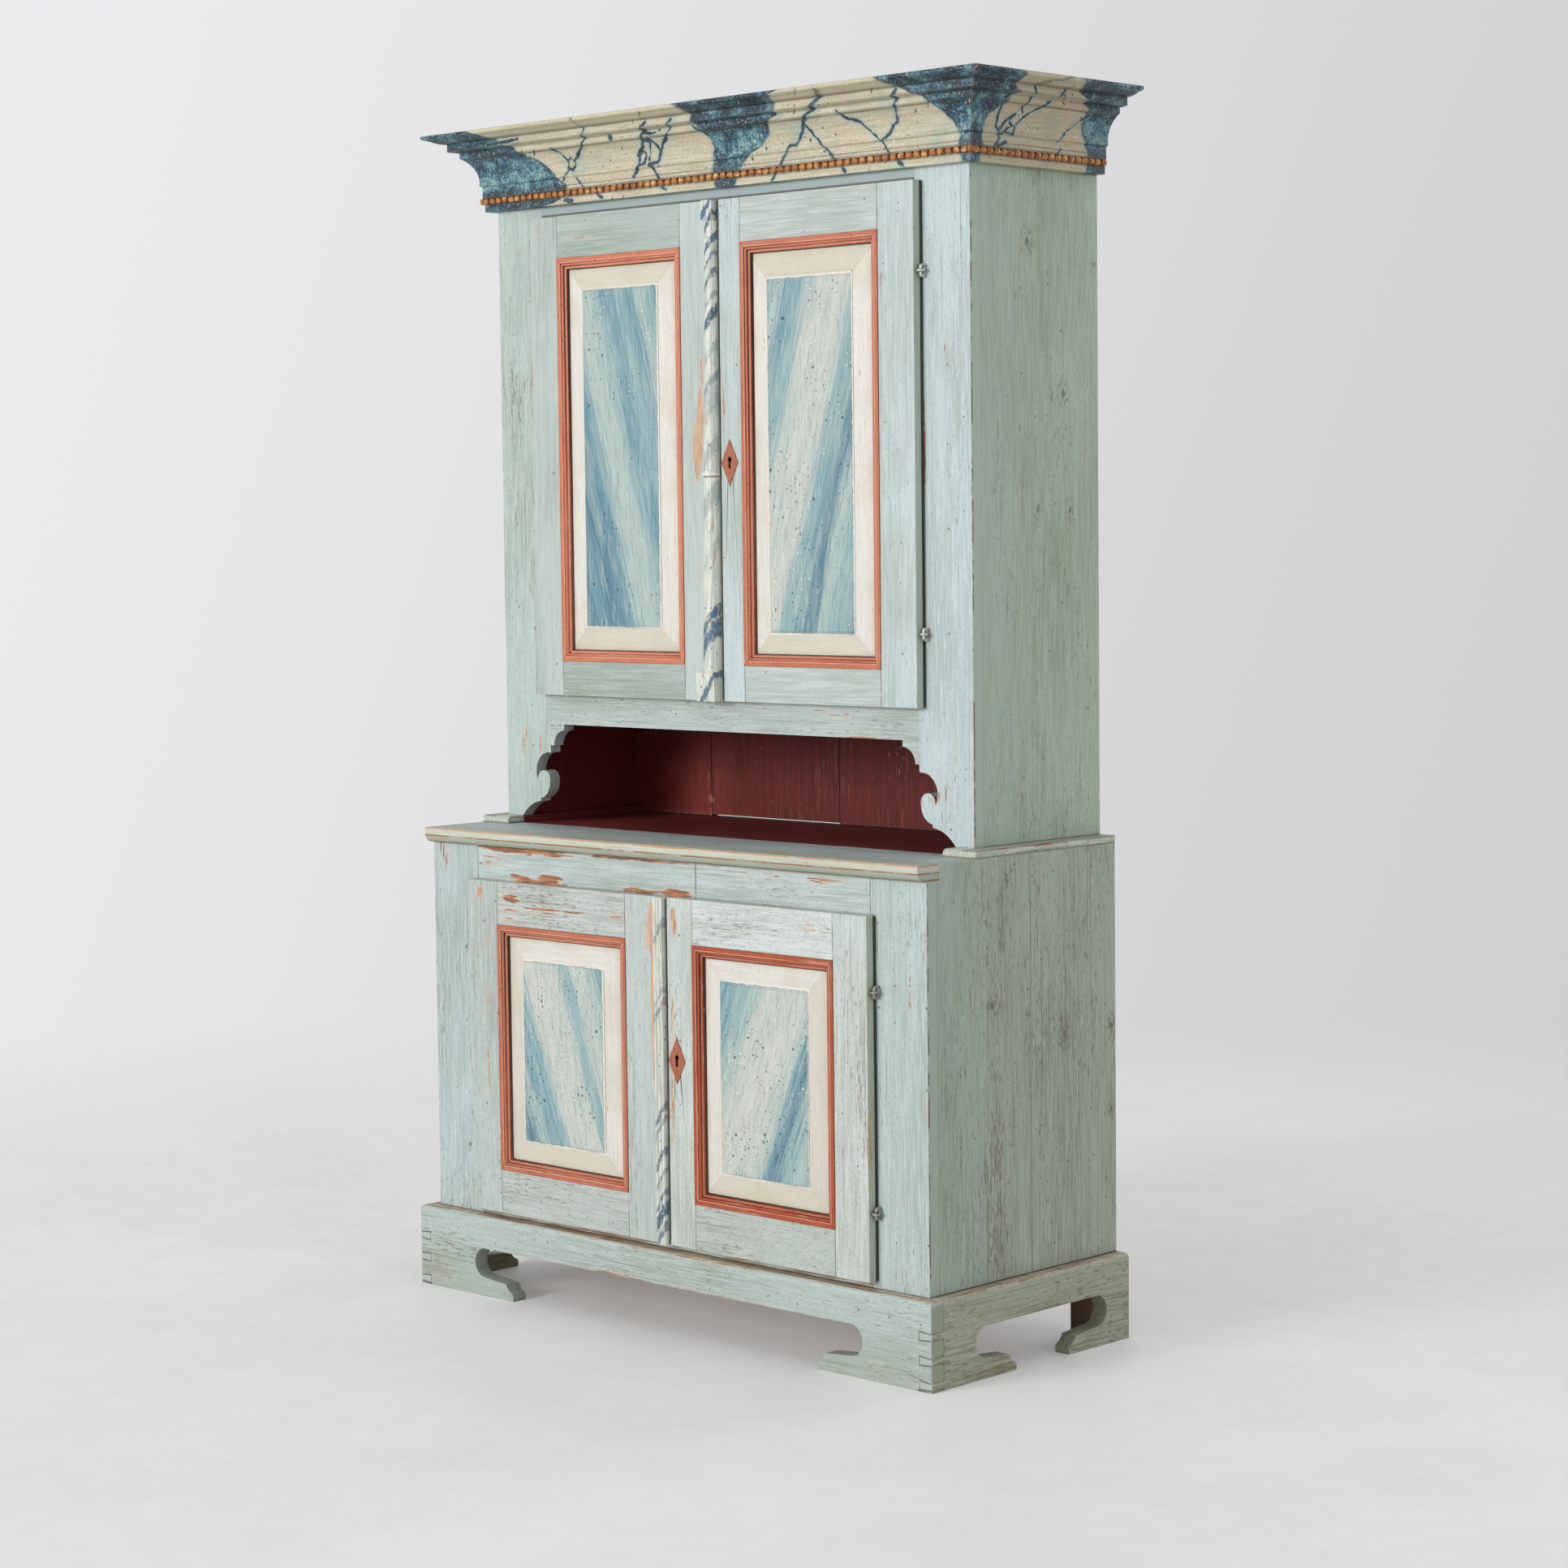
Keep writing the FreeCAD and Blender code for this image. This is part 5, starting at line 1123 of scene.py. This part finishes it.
RETURN_VEINS = [
    ([(205, 2072), (188, 2062), (193, 2042), (194, 2018), (206, 2002), (192, 1986)], 2.0),
    ([(200, 2012), (216, 2030), (234, 2040)], 2.6),
    ([(202, 2006), (222, 2018), (240, 2024), (262, 2042), (302, 2066)], 1.4),
    ([(216, 2012), (236, 2010), (240, 2022), (226, 2026)], 1.8),
    ([(222, 1996), (206, 1990), (196, 1982)], 2.2), ([(252, 2068), (240, 2050)], 1.2),
    ([(352, 2006), (372, 2024), (412, 2052)], 1.3), ([(366, 2018), (372, 2026)], 2.2),
    ([(246, 2074), (244, 2082)], 2.4), ([(310, 2074), (320, 2083)], 2.8),
    ([(352, 1986), (362, 1994)], 1.6), ([(240, 2086), (300, 2099)], 1.4),
]


# Dark lines along the cornice, dirt and painted shadow under its fillets and nose: height, strength, half
# width
CORNICE_LINES = [
    (1994, 0.55, 0.5), (2056, 0.6, 0.7), (2072, 0.5, 0.6), (2085.4, 0.5, 0.5), (1987.5, 0.7, 0.8),
    (1974, 0.6, 0.7),
]

# Places on the mitres where the paint has chipped off.
CHIPPED = [
    (640, 82, 2071, 11, 11, 6, 0.4), (628, 94, 2052, 8, 8, 5, 0.36), (662, 62, 2094, 10, 10, 4, 0.34),
    (-662, 62, 2094, 10, 10, 4, 0.3),
]


def marble(tree, blue, veins, aged):
    """Cream ground, sponged blue where `blue` is 1, and dark veins. The ground is browner where aged."""
    ground = tree.grained(70, 3.4, 3, rough=0.6)
    clouds = tree.own(60, 2, 3)
    grit = tree.own(4, 2, 5)
    colour = Coat(tree, (ground * 0.6 + grit * 0.45).rising(0.4, 0.66), CREAM, CREAM_DARK)
    colour.lay(clouds.rising(0.52, 0.75) * 0.4, MINT)
    warm = tree.own((90, 90, 40), 2, 21)
    colour.lay(warm.rising(0.5, 0.72) * 0.3, (214, 182, 146))
    colour.lay(aged, (168, 138, 94))
    sponge = tree.own(6, 4, 6, rough=0.75)
    washes = tree.own((34, 34, 24), 3, 8, rough=0.55) + tree.z.between(1998, 2050, 8) * 0.1 - 0.05
    paint_blue = Coat(tree, (sponge * 0.7 + washes * 0.6).rising(0.58, 0.7), NAVY, SLATE)
    paint_blue.lay((sponge * 0.7 + washes * 0.9).rising(0.86, 0.98) * 0.9, MINT)
    dust = tree.own(3.6, 2, 10)
    paint_blue.lay(dust.rising(0.6, 0.68) * 0.6, (176, 194, 182))
    paint_blue.lay(dust.falling(0.36, 0.44) * 0.75, (12, 24, 34))
    colour.lay(blue.rising(0.0, 0.35) * 0.4, MINT)
    colour.lay(blue.rising(0.2, 0.6), paint_blue)
    edge = blue.between(0.4, 0.85, 0.14)
    colour.lay(edge * 0.4, NAVY)
    wander = (tree.own(7, 2, 12) - 0.5) * 6 + (tree.own(24, 2, 15) - 0.5) * 6
    line = veins + wander - 0.4
    halo = line.falling(0, 9) * 0.36
    colour.lay(halo, MINT)
    strength = tree.own(16, 2, 14).rising(0.2, 0.5)
    inked = tree.mix(tree.own(9, 2, 18).rising(0.44, 0.66), (20, 42, 60), (48, 88, 106))
    colour.lay(line.falling(-0.6, 0.8) * (strength * 0.25 + 0.75), inked)
    crowd = tree.own((50, 50, 30), 3, 17)
    flecks = (tree.dots(10, 2.2, 0.24, 1) * crowd.rising(0.48, 0.6)).max(
        tree.dots(34, 3.6, 0.3, 2) * crowd.rising(0.4, 0.5))
    colour.lay(flecks * 0.9, (40, 42, 38))
    pale = tree.dots(9, 2.2, 0.3, 9) * tree.own((40, 40, 26), 2, 19).rising(0.54, 0.66)
    return colour.lay(pale * 0.8, (230, 224, 196)), ground


# How far the sponged edge of a blue patch fades out, either way
PATCH_SOFT = 12


def cornice_paint(name, grain, shift, low_patch, high_patch, veins, aged, band=None):
    """Marbled paint: blue up to the low patch's edge, past the high patch's, and between the band's two."""
    tree = Tree(name, grain, shift)
    run = tree.x if grain == "x" else tree.y
    ragged = (tree.own(12, 3) - 0.5) * 12
    flat = tree.node("CombineXYZ", {"X": run + ragged * 0.25, "Z": tree.z + ragged * 0.2}).outputs[0]

    def below(points):
        return (tree.curve(tree.z, points) - run + ragged).rising(-PATCH_SOFT, PATCH_SOFT)

    def past(points):
        return (run - tree.curve(tree.z, points) + ragged).rising(-PATCH_SOFT, PATCH_SOFT)

    blue = below(low_patch).max(past(high_patch))
    if band:
        blue = blue.max(past(band[0]) * below(band[1]))
    lines = reduce(Field.min, (tree.stroke(points, half, flat) for points, half in veins))
    colour, ground = marble(tree, blue, lines, aged)
    # Dirt and painted shadow along the cornice's steps.
    for height, strength, half in CORNICE_LINES:
        kept = tree.own((60, 60, 8), 3, height).rising(0.3, 0.5) * 0.5 + 0.5
        colour.lay((tree.z - height).abs().falling(half, half + 1.2) * kept * strength, (70, 60, 44))
    fascia = tree.z.rising(2084, 2087) * (1 - blue.clamped())
    colour.lay(fascia * 0.3, (216, 204, 166))
    # Painted highlight along the arrises, weaker on the blue.
    arris = tree.arris(5).rising(0.2, 0.8)
    colour.lay(arris * (0.35 - blue * 0.28), (224, 220, 200))
    chipped = arris * 0.14 + tree.own(8, 3, 23) + tree.spots(CHIPPED)
    colour.lay(chipped.rising(0.76, 0.82) * 0.85, (204, 132, 78))
    seat = tree.y.rising(154, 154.6) if grain == "x" else tree.x.abs().falling(567.4, 568)
    behind = tree.y.rising(481.6, 481.9).max(tree.z.rising(2099.5, 2099.9)).max(seat)
    colour.lay(behind, wood(tree)[0])
    tree.finish(colour.grimed_and_shaded(0.8, 9), ground * 0.25 + 0.36, ground * 0.12)


cornice_paint(
    "cornice_front", "x", 130, LEFT_PATCH, RIGHT_PATCH, FRONT_VEINS, 0.05,
    band=(MIDDLE_PATCH_LEFT, MIDDLE_PATCH_RIGHT),
)
cornice_paint("cornice_return", "y", 140, RETURN_PATCH, RETURN_BACK_PATCH, RETURN_VEINS, 0.3)


def twisted_paint(name, slope, middle, bands, shift, spots, ring=None):
    """Cream with slanting blue strokes round a column: (height at the middle, half width, strength)."""
    tree = Tree(name, shift=shift)
    ragged = (tree.own((8, 8, 14), 4, rough=0.65) - 0.5) * 30
    height = tree.z - (tree.x - middle) * slope + ragged
    blue = reduce(Field.max, (
        (height - at).abs().falling(half * 0.7, half * 1.1) * strength for at, half, strength in bands
    ))
    brush = tree.own((3.2, 3.2, 50), 3, 3)
    clouds = tree.own((20, 20, 60), 2, 5)
    colour = Coat(tree, brush.rising(0.42, 0.62), (220, 222, 212), (186, 192, 180))
    colour.lay(clouds.rising(0.5, 0.7) * 0.5, (186, 200, 198))
    sponge = tree.own((5, 5, 9), 4, 7, rough=0.7)
    stroke = tree.mix(sponge.rising(0.42, 0.58), (20, 40, 68), (72, 112, 138))
    colour.lay((blue * (sponge.rising(0.34, 0.54) * 0.8 + 0.3)).clamped(), stroke)
    rubbed = (tree.own((3.4, 3.4, 30), 3, 11) + tree.spots(spots)).rising(0.72, 0.8)
    colour.lay(rubbed * 0.8, (182, 132, 96))
    if ring is not None:
        # Painted highlight along the ring, and a painted shade line just under it.
        colour.lay((tree.z - ring).abs().falling(1.4, 2.6) * 0.7, (234, 232, 220))
        colour.lay((tree.z - ring + 4.4).abs().falling(0.8, 2.0) * 0.75, (118, 88, 66))
    dots = tree.dots(14, 2.6, 0.25, 1) * clouds.rising(0.4, 0.55)
    colour.lay(dots * 0.8, (48, 52, 54))
    tree.finish(colour.grimed_and_shaded(0.9, 9), brush * 0.2 + 0.36, brush * 0.12)


twisted_paint(
    "column", 1.5, 0,
    [(1108, 9, 0.9), (1192, 18, 0.9), (1222, 11, 0.95), (1330, 12, 0.2), (1425, 20, 0.36), (1505, 16, 0.34),
     (1590, 24, 0.3), (1622, 10, 0.55), (1672, 10, 0.3), (1732, 11, 1.0), (1762, 6, 0.5),
     (1800, 7, 0.8), (1830, 5, 0.7), (1858, 8, 0.9), (1896, 7, 1.0), (1926, 9, 0.9)],
    150,
    [(10, 120, 1400, 8, 16, 40, 0.2), (10, 120, 1330, 6, 16, 30, 0.22), (2, 120, 1560, 6, 16, 60, 0.2),
     (-12, 120, 1126, 14, 16, 8, 0.2), (8, 115, 1110, 4, 12, 10, 0.3)],
    ring=1474,
)
twisted_paint(
    "strip", 1.7, 13,
    [(172, 10, 0.7), (204, 14, 0.9), (232, 7, 0.7), (268, 5, 0.5), (304, 8, 0.7), (358, 6, 0.6),
     (380, 8, 0.7), (560, 8, 0.55), (580, 5, 0.45), (695, 8, 0.5)],
    160,
    [(22, -30, 560, 3, 8, 120, 0.2), (3, -30, 640, 3, 8, 100, 0.25), (22, -30, 690, 4, 8, 60, 0.25)],
)

# ---- Metal and gilding ----


def iron(name, pale):
    """Forged iron, painted over once and rubbed bright where it turns."""
    tree = Tree(name)
    pits = tree.noise(1.6, 3, 5)
    clouds = tree.noise(7, 3, 9)
    colour = Coat(tree, clouds.rising(0.42, 0.6), (58, 54, 50), (98, 88, 78))
    colour.lay((pits + clouds * 0.4).rising(0.7, 0.8) * 0.6, (134, 88, 60))
    lower = tree.z.falling(900, 1000) * 0.5
    kept = ((clouds + pits * 0.3).rising(0.5, 0.6) * pale + pale * 0.4) * (1 - lower)
    colour.lay(kept.clamped(), (214, 216, 206))
    tree.finish(colour, pits * 0.3 + 0.35, pits * 0.25, metal=0.35)


def plate_paint(name):
    """Sheet iron under thin red lead, browned at the rim."""
    tree = Tree(name)
    brush = tree.noise((5, 5, 14), 3, 2)
    pits = tree.noise(2, 3, 6)
    colour = Coat(tree, brush.rising(0.4, 0.66), (186, 108, 78), (168, 92, 62))
    colour.lay(pits.rising(0.6, 0.74) * 0.6, (120, 62, 46))
    rim = tree.arris(2).rising(0.25, 0.8)
    colour.lay(rim * 0.6, (112, 66, 52))
    tree.finish(colour.grimed_and_shaded(0.8, 5), brush * 0.2 + 0.3, pits * 0.1, metal=0.15)


def gilt_paint(name):
    """Bronzed beads: ochre brown, with painted highlights in streaks and painted shade in the hollows."""
    tree = Tree(name)
    clouds = tree.noise(14, 3, 3)
    pits = tree.noise(2.4, 3, 6)
    colour = Coat(tree, clouds.rising(0.38, 0.62), (192, 126, 60), (142, 82, 36))
    colour.lay(pits.rising(0.52, 0.68) * 0.5, (114, 64, 28))
    # Painted highlights, in streaks.
    colour.lay(tree.noise((22, 9, 9), 2, 14).rising(0.54, 0.66) * 0.6, (236, 192, 134))
    # Painted shade in the hollows between and under the beads.
    shade_and_dirt = tree.hollow(6)
    colour.lay(shade_and_dirt.rising(0.25, 0.75) * 0.9, (62, 34, 20))
    tree.finish(colour, pits * 0.2 + 0.36, pits * 0.2)


iron("iron", 0.0)
iron("hinge_iron", 0.6)
plate_paint("plate")
gilt_paint("gilt")

# ---- The CAD's own pieces ----


# Edge radius in millimetres, material, and the nodes that have them
WEAR_ROUND = [
    (1.6, "base_front", "base_front"),
    (1.6, "base_sides", "base_side_left base_side_right"),
    (1.0, "dark_x", "base_back"),
    (1.0, "dark_z", "base_blocks"),
    (0.8, "nosing", "counter_nosing"),
    (0.6, "counter_top", "counter_top"),
    (1.0, "runners", "runner_left runner_right"),
    (0.8, "lower_back", "lower_back"),
    (1.0, "lower_floor", "lower_floor"),
    (0.8, "bare_x", "lower_shelf upper_roof upper_shelves"),
    (1.2, "lower_sides", "lower_side_left lower_side_right"),
    (0.7, "lower_stile_left", "lower_stile_left"),
    (0.7, "lower_stile_right", "lower_stile_right"),
    (0.6, "lower_rail", "lower_top_rail"),
    (0.9, "upper_rails", "niche_rail"),
    (0.7, "upper_rails", "upper_top_rail"),
    (0.9, "upper_stile_left", "upper_stile_left"),
    (0.9, "upper_stile_right", "upper_stile_right"),
    (1.0, "upper_sides", "upper_side_left upper_side_right"),
    (1.0, "niche_back", "upper_back"),
    (0.8, "upper_floor", "upper_floor"),
    (0.8, "cornice_front", "cornice_front"),
    (0.8, "cornice_return", "cornice_left cornice_right"),
    (0.9, "column", "upper_column"),
    (0.7, "strip", "lower_reeded_strip"),
    (0.4, "plate", "upper_escutcheon lower_escutcheon"),
    (0.4, "iron", "upper_lock lower_lock"),
    (0.5, "iron", "upper_lock_bolt lower_lock_bolt"),
]
for door in MOULDINGS:
    for part, radius in (("stiles", 0.8), ("rails", 0.6), ("moulding", 0.4), ("panel", 0.5)):
        WEAR_ROUND.append((radius, f"{door}_{part}", f"{door}_{part}"))

for radius, material, names in WEAR_ROUND:
    for name in names.split():
        board = nodes[name]
        board.material_slots[0].link = "OBJECT"
        board.material_slots[0].material = materials[material]
        mesh = board.data
        if "custom_normal" in mesh.attributes:
            mesh.attributes.remove(mesh.attributes["custom_normal"])
        for polygon in mesh.polygons:
            polygon.use_smooth = True
        weld = board.modifiers.new("joined", "WELD")
        weld.merge_threshold = 0.00001
        bevel = board.modifiers.new("eased", "BEVEL")
        bevel.width = radius * MM
        bevel.segments = 2
        bevel.limit_method = "ANGLE"
        bevel.angle_limit = math.radians(28)
        bevel.use_clamp_overlap = True
        bevel.harden_normals = True

# ---- New pieces ----

# The bead's height and depth, the height it starts from, how deep it is let in, and how many are in front
BEAD_LOW = 1975
BEAD_HEIGHT = 11
BEAD_PROUD = 8
BEAD_SEAT = 17
BEADS_FRONT = 69
BEAD_SIDES = 10
BEAD_RINGS = 6
ROD_STEPS = 6

# x, y, heights of each door's two hinge pins, the way to the door's middle, and the case's face
HINGES = {
    "upper_left_door": (-471, 144, (1204, 1795), 1, UPPER_FACE),
    "upper_right_door": (471, 144, (1204, 1795), -1, UPPER_FACE),
    "lower_left_door": (-495, -11, (271, 632), 1, LOWER_FACE),
    "lower_right_door": (495, -11, (271, 632), -1, LOWER_FACE),
}
EYE_RADIUS = 5.2
EYE_WIRE = 2.2
PIN_HALF = 9
STAPLE_WIRE = 2.5

# Pegs through the frame joints: x, z, radius
PEGS = {
    "upper_right_door": [(391, 1128, 5), (393, 1101, 4), (50, 1118, 4.5), (395, 1905, 4)],
    "upper_left_door": [(-420, 1120, 4.5), (-55, 1120, 4.5)],
    "lower_right_door": [(427, 707, 5), (422, 684, 5), (428, 225, 5), (442, 204, 6)],
    "lower_left_door": [(-122, 180, 6.5), (-432, 225, 5), (-428, 700, 5)],
}
# Shares of the radius, and how far out of the face they are
PEG_PROFILE = ((1.0, -0.4), (1.0, 0.25), (0.82, 0.5), (0.4, 0.42))
NAIL_PROFILE = ((1.0, 0.0), (0.92, 0.35), (0.6, 0.7))
NAIL_RADIUS = 1.5


def new_piece(work, name, material, body):
    """The corners and faces that were built, as a piece that rides on a body."""
    bmesh.ops.recalc_face_normals(work, faces=work.faces)
    mesh = bpy.data.meshes.new(name)
    work.to_mesh(mesh)
    work.free()
    for polygon in mesh.polygons:
        polygon.use_smooth = True
    piece = bpy.data.objects.new(name, mesh)
    scene.collection.objects.link(piece)
    mesh.materials.append(materials[material])
    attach(piece, body)
    return piece


def place(x, y, z):
    """A place in the row frame, in metres, from case millimetres."""
    return Vector((x * MM, (y + FRONT_Y) * MM, z * MM))


def add_walls(work, rings):
    """Faces from each ring of corners to the next."""
    for low, high in zip(rings, rings[1:]):
        for step in range(len(low)):
            after = (step + 1) % len(low)
            work.faces.new((low[step], low[after], high[after], high[step]))


def add_bead(work, centre, length_axis, outward, size, chance):
    """One carved bead: a block with rounded shoulders, a little uneven."""
    half_long = size[0] / 2 * chance.uniform(0.96, 1.02)
    half_high = size[1] / 2 * chance.uniform(0.97, 1.0)
    reach = size[2] * chance.uniform(0.94, 1.0)
    power = 0.42
    grid = []
    for ring in range(BEAD_RINGS + 1):
        tilt = math.pi / 2 * ring / BEAD_RINGS
        flat = math.cos(tilt) ** power
        out = math.sin(tilt) ** 0.7 * reach
        row = []
        # The last ring is the tip, a single corner.
        for step in range(1 if ring == BEAD_RINGS else BEAD_SIDES):
            angle = 2 * math.pi * step / BEAD_SIDES
            across = math.copysign(abs(math.cos(angle)) ** power, math.cos(angle)) * flat * half_long
            high = math.copysign(abs(math.sin(angle)) ** 0.75, math.sin(angle)) * flat * half_high
            spot = centre + (length_axis * across + Vector((0, 0, 1)) * high + outward * out) * MM
            row.append(work.verts.new(spot))
        grid.append(row)
    add_walls(work, grid[:-1])
    last = grid[-2]
    for step in range(BEAD_SIDES):
        work.faces.new((last[step], last[(step + 1) % BEAD_SIDES], grid[-1][0]))
    work.faces.new(list(reversed(grid[0])))


def add_rod(work, start, end, outward, inset_end):
    """The low half-round rod that the beads of one length are carved from."""
    run = (end - start).normalized()
    rings = []
    for spot, way in ((start, -1), (end, inset_end)):
        row = []
        for step in range(ROD_STEPS + 1):
            angle = math.pi * step / ROD_STEPS - math.pi / 2
            out = BEAD_PROUD * 0.45 * math.cos(angle)
            high = BEAD_HEIGHT * 0.4 * math.sin(angle)
            offset = outward * out + Vector((0, 0, 1)) * high + run * (way * out)
            row.append(work.verts.new(spot + offset * MM))
        rings.append(row)
    low, high = rings
    for step in range(ROD_STEPS):
        work.faces.new((low[step], low[step + 1], high[step + 1], high[step]))
    for row in rings:
        work.faces.new(row)


def add_stud(work, x, y, z, radius, profile, sides, turned=0, uneven=0):
    """The head of a peg or nail, on a face that is at depth y."""
    rings = []
    for share, out in profile:
        row = []
        for step in range(sides):
            angle = 2 * math.pi * (step + turned) / sides
            wide = radius * share * (1 + uneven * math.cos(2 * angle + turned * 6))
            high = radius * share * math.sin(angle)
            row.append(work.verts.new(place(x + wide * math.cos(angle), y - out, z + high)))
        rings.append(row)
    add_walls(work, rings)
    work.faces.new(rings[-1])


def build_beads(work):
    chance = random.Random(11)
    high = BEAD_LOW + BEAD_HEIGHT / 2
    reach = UPPER_HALF + BEAD_SEAT
    pitch = 2 * reach / BEADS_FRONT
    size = (pitch * 0.84, BEAD_HEIGHT, BEAD_PROUD)
    corner_size = (BEAD_PROUD * 1.3, BEAD_HEIGHT, BEAD_PROUD * 0.92)
    front = UPPER_FACE - BEAD_SEAT
    corner_out = BEAD_PROUD * 0.45 - 2.4
    for side in (-1, 1):
        corner = place(side * (reach + corner_out), front - corner_out, high)
        across = Vector((side, 1, 0)).normalized()
        add_bead(work, corner, across, Vector((side, -1, 0)).normalized(), corner_size, chance)
        back = place(side * reach, CASE_BACK, high)
        add_rod(work, place(side * reach, front, high), back, Vector((side, 0, 0)), 0)
    add_rod(work, place(-reach, front, high), place(reach, front, high), Vector((0, -1, 0)), 1)
    for number in range(BEADS_FRONT):
        middle = place(-reach + pitch * (number + 0.5), front, high)
        add_bead(work, middle, Vector((1, 0, 0)), Vector((0, -1, 0)), size, chance)
    count = round((CASE_BACK - front) / pitch)
    step = (CASE_BACK - front) / count
    for side in (-1, 1):
        for number in range(count):
            middle = place(side * reach, front + step * (number + 0.5), high)
            add_bead(work, middle, Vector((0, side, 0)), Vector((side, 0, 0)), size, chance)


work = bmesh.new()
build_beads(work)
beads = new_piece(work, "bead_course", "gilt", "case")
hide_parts("cornice_bead")


def wires(name, lines, radius, body, replaced):
    """Round wire bent through points; a closed line is a ring."""
    data = bpy.data.curves.new(name, "CURVE")
    data.dimensions = "3D"
    data.bevel_depth = radius * MM
    data.bevel_resolution = 3
    data.resolution_u = 8
    data.use_fill_caps = True
    data.materials.append(materials["hinge_iron"])
    for closed, points in lines:
        spline = data.splines.new("NURBS")
        spline.points.add(len(points) - 1)
        for spot, point in zip(spline.points, points):
            spot.co = (*place(*point), 1)
        spline.order_u = 3
        spline.use_cyclic_u = closed
        spline.use_endpoint_u = not closed
    piece = bpy.data.objects.new(name, data)
    scene.collection.objects.link(piece)
    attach(piece, body)
    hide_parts(replaced)


staples = []
for door, (x, y, heights, inward, case_y) in HINGES.items():
    eyes = []
    for height in heights:
        ring = []
        for step in range(8):
            angle = math.pi / 4 * step
            reach = EYE_RADIUS * 1.04
            ring.append((x + reach * math.cos(angle), y + reach * math.sin(angle), height))
        eyes.append((True, ring))
        shank = [(4.6, 0), (6.5, 0.6), (8, 0)]
        eyes.append((False, [(x + out * inward, y + back, height) for out, back in shank]))
        bend = [
            (case_y + 1.5, -PIN_HALF), (y + 3, -PIN_HALF), (y, 1.5 - PIN_HALF), (y, 0), (y, PIN_HALF - 1.5),
            (y + 3, PIN_HALF), (case_y + 1.5, PIN_HALF),
        ]
        staples.append((False, [(x, depth, height + rise) for depth, rise in bend]))
    wires(door + "_eyes", eyes, EYE_WIRE, door, door + "_hinge_eyes")
wires("staples", staples, STAPLE_WIRE, "case", "hinge_staples")

for door in MOULDINGS:
    face = UPPER_DOOR_FACE if door.startswith("upper") else LOWER_DOOR_FACE
    pegs = PEGS[door]
    chance = random.Random(len(pegs))
    work = bmesh.new()
    for x, z, radius in pegs:
        add_stud(work, x, face, z, radius, PEG_PROFILE, 14, chance.uniform(0, 1), 0.08)
    new_piece(work, door + "_pegs", door + "_stiles", door)

for level, (lock_x, lock_z, face) in zip(("upper", "lower"), KEYHOLES):
    work = bmesh.new()
    for x, z in ((0, 32), (0, -32), (13.5, 0), (-13.5, 0)):
        add_stud(work, lock_x + x, face - 1.5, lock_z + z, NAIL_RADIUS, NAIL_PROFILE, 10)
    new_piece(work, level + "_plate_nails", "plate", level + "_right_door")

# ---- Studio ----

FLOOR_HALF = 9.0


def seen(tree):
    """1 for rays that show what they meet, and 0 for rays that only carry light."""
    rays = tree.node("LightPath").outputs
    ways = ("Is Camera Ray", "Is Glossy Ray", "Is Transmission Ray")
    return reduce(Field.max, (Field(tree, rays[way]) for way in ways))


tree = Tree("studio_floor")
far = tree.vector("LENGTH", tree.place).rising(1500, 4200)
marks = tree.noise(300, 3, 2)
scuffs = tree.noise(60, 4, 6, rough=0.7)
shader = tree.node("BsdfPrincipled", {
    "Base Color": tree.mix((marks * 0.6 + scuffs * 0.4).rising(0.3, 0.7), (226, 225, 223), (218, 217, 216)),
    "Roughness": scuffs * 0.2 + 0.4,
    "Specular IOR Level": 0.3,
    "Emission Color": (1, 1, 1, 1),
    "Emission Strength": seen(tree) * 0.15,
})
clear = tree.node("BsdfTransparent")
blend = tree.node("MixShader", {0: far, 1: shader.outputs[0], 2: clear.outputs[0]})
tree.node("OutputMaterial", {"Surface": blend.outputs[0]})

floor_mesh = bpy.data.meshes.new("floor")
corners = [(x * FLOOR_HALF, y * FLOOR_HALF, 0) for x, y in ((-1, -1), (1, -1), (1, 1), (-1, 1))]
floor_mesh.from_pydata(corners, [], [(0, 1, 2, 3)])
floor_mesh.materials.append(tree.owner)
floor = bpy.data.objects.new("floor", floor_mesh)
scene.collection.objects.link(floor)

# The backdrop that camera rays see is painted darker along this direction, a painted shade. Light comes from
# an even sky instead.
SWEEP_WAY = (0.72, 0.69, -0.35)

world = bpy.data.worlds.new("studio")
scene.world = world
tree = Tree("studio", owner=world)
lit = tree.node("Background", {"Color": (0.97, 0.985, 1.0, 1), "Strength": 0.5})
across = tree.vector("DOT_PRODUCT", tree.way, SWEEP_WAY).rising(-0.34, 0.34)
shown = tree.node("Background", {"Color": tree.mix(across, (236, 236, 238), (206, 206, 207)), "Strength": 1})
choose = tree.node("MixShader", {0: seen(tree), 1: lit.outputs[0], 2: shown.outputs[0]})
tree.node("OutputWorld", {"Surface": choose.outputs[0]})


def softbox(name, at, size, power, colour=(1, 1, 1)):
    """A square lamp that is aimed at the middle of the cupboard."""
    data = bpy.data.lights.new(name, "AREA")
    data.shape = "RECTANGLE"
    data.size = data.size_y = size
    data.energy = power
    data.color = colour
    lamp = bpy.data.objects.new(name, data)
    lamp.location = at
    lamp.rotation_euler = (Vector((0, 0, 1)) - Vector(at)).to_track_quat("-Z", "Y").to_euler()
    scene.collection.objects.link(lamp)


softbox("key", (-1.9, -8.95, 2.9), 3.2, 525, (1, 0.995, 0.985))
softbox("side", (6.5, -0.8, 2.6), 3.0, 40)
softbox("back", (1.5, 6.5, 2.8), 3.0, 110)

view = scene.view_settings
view.view_transform = "Standard"
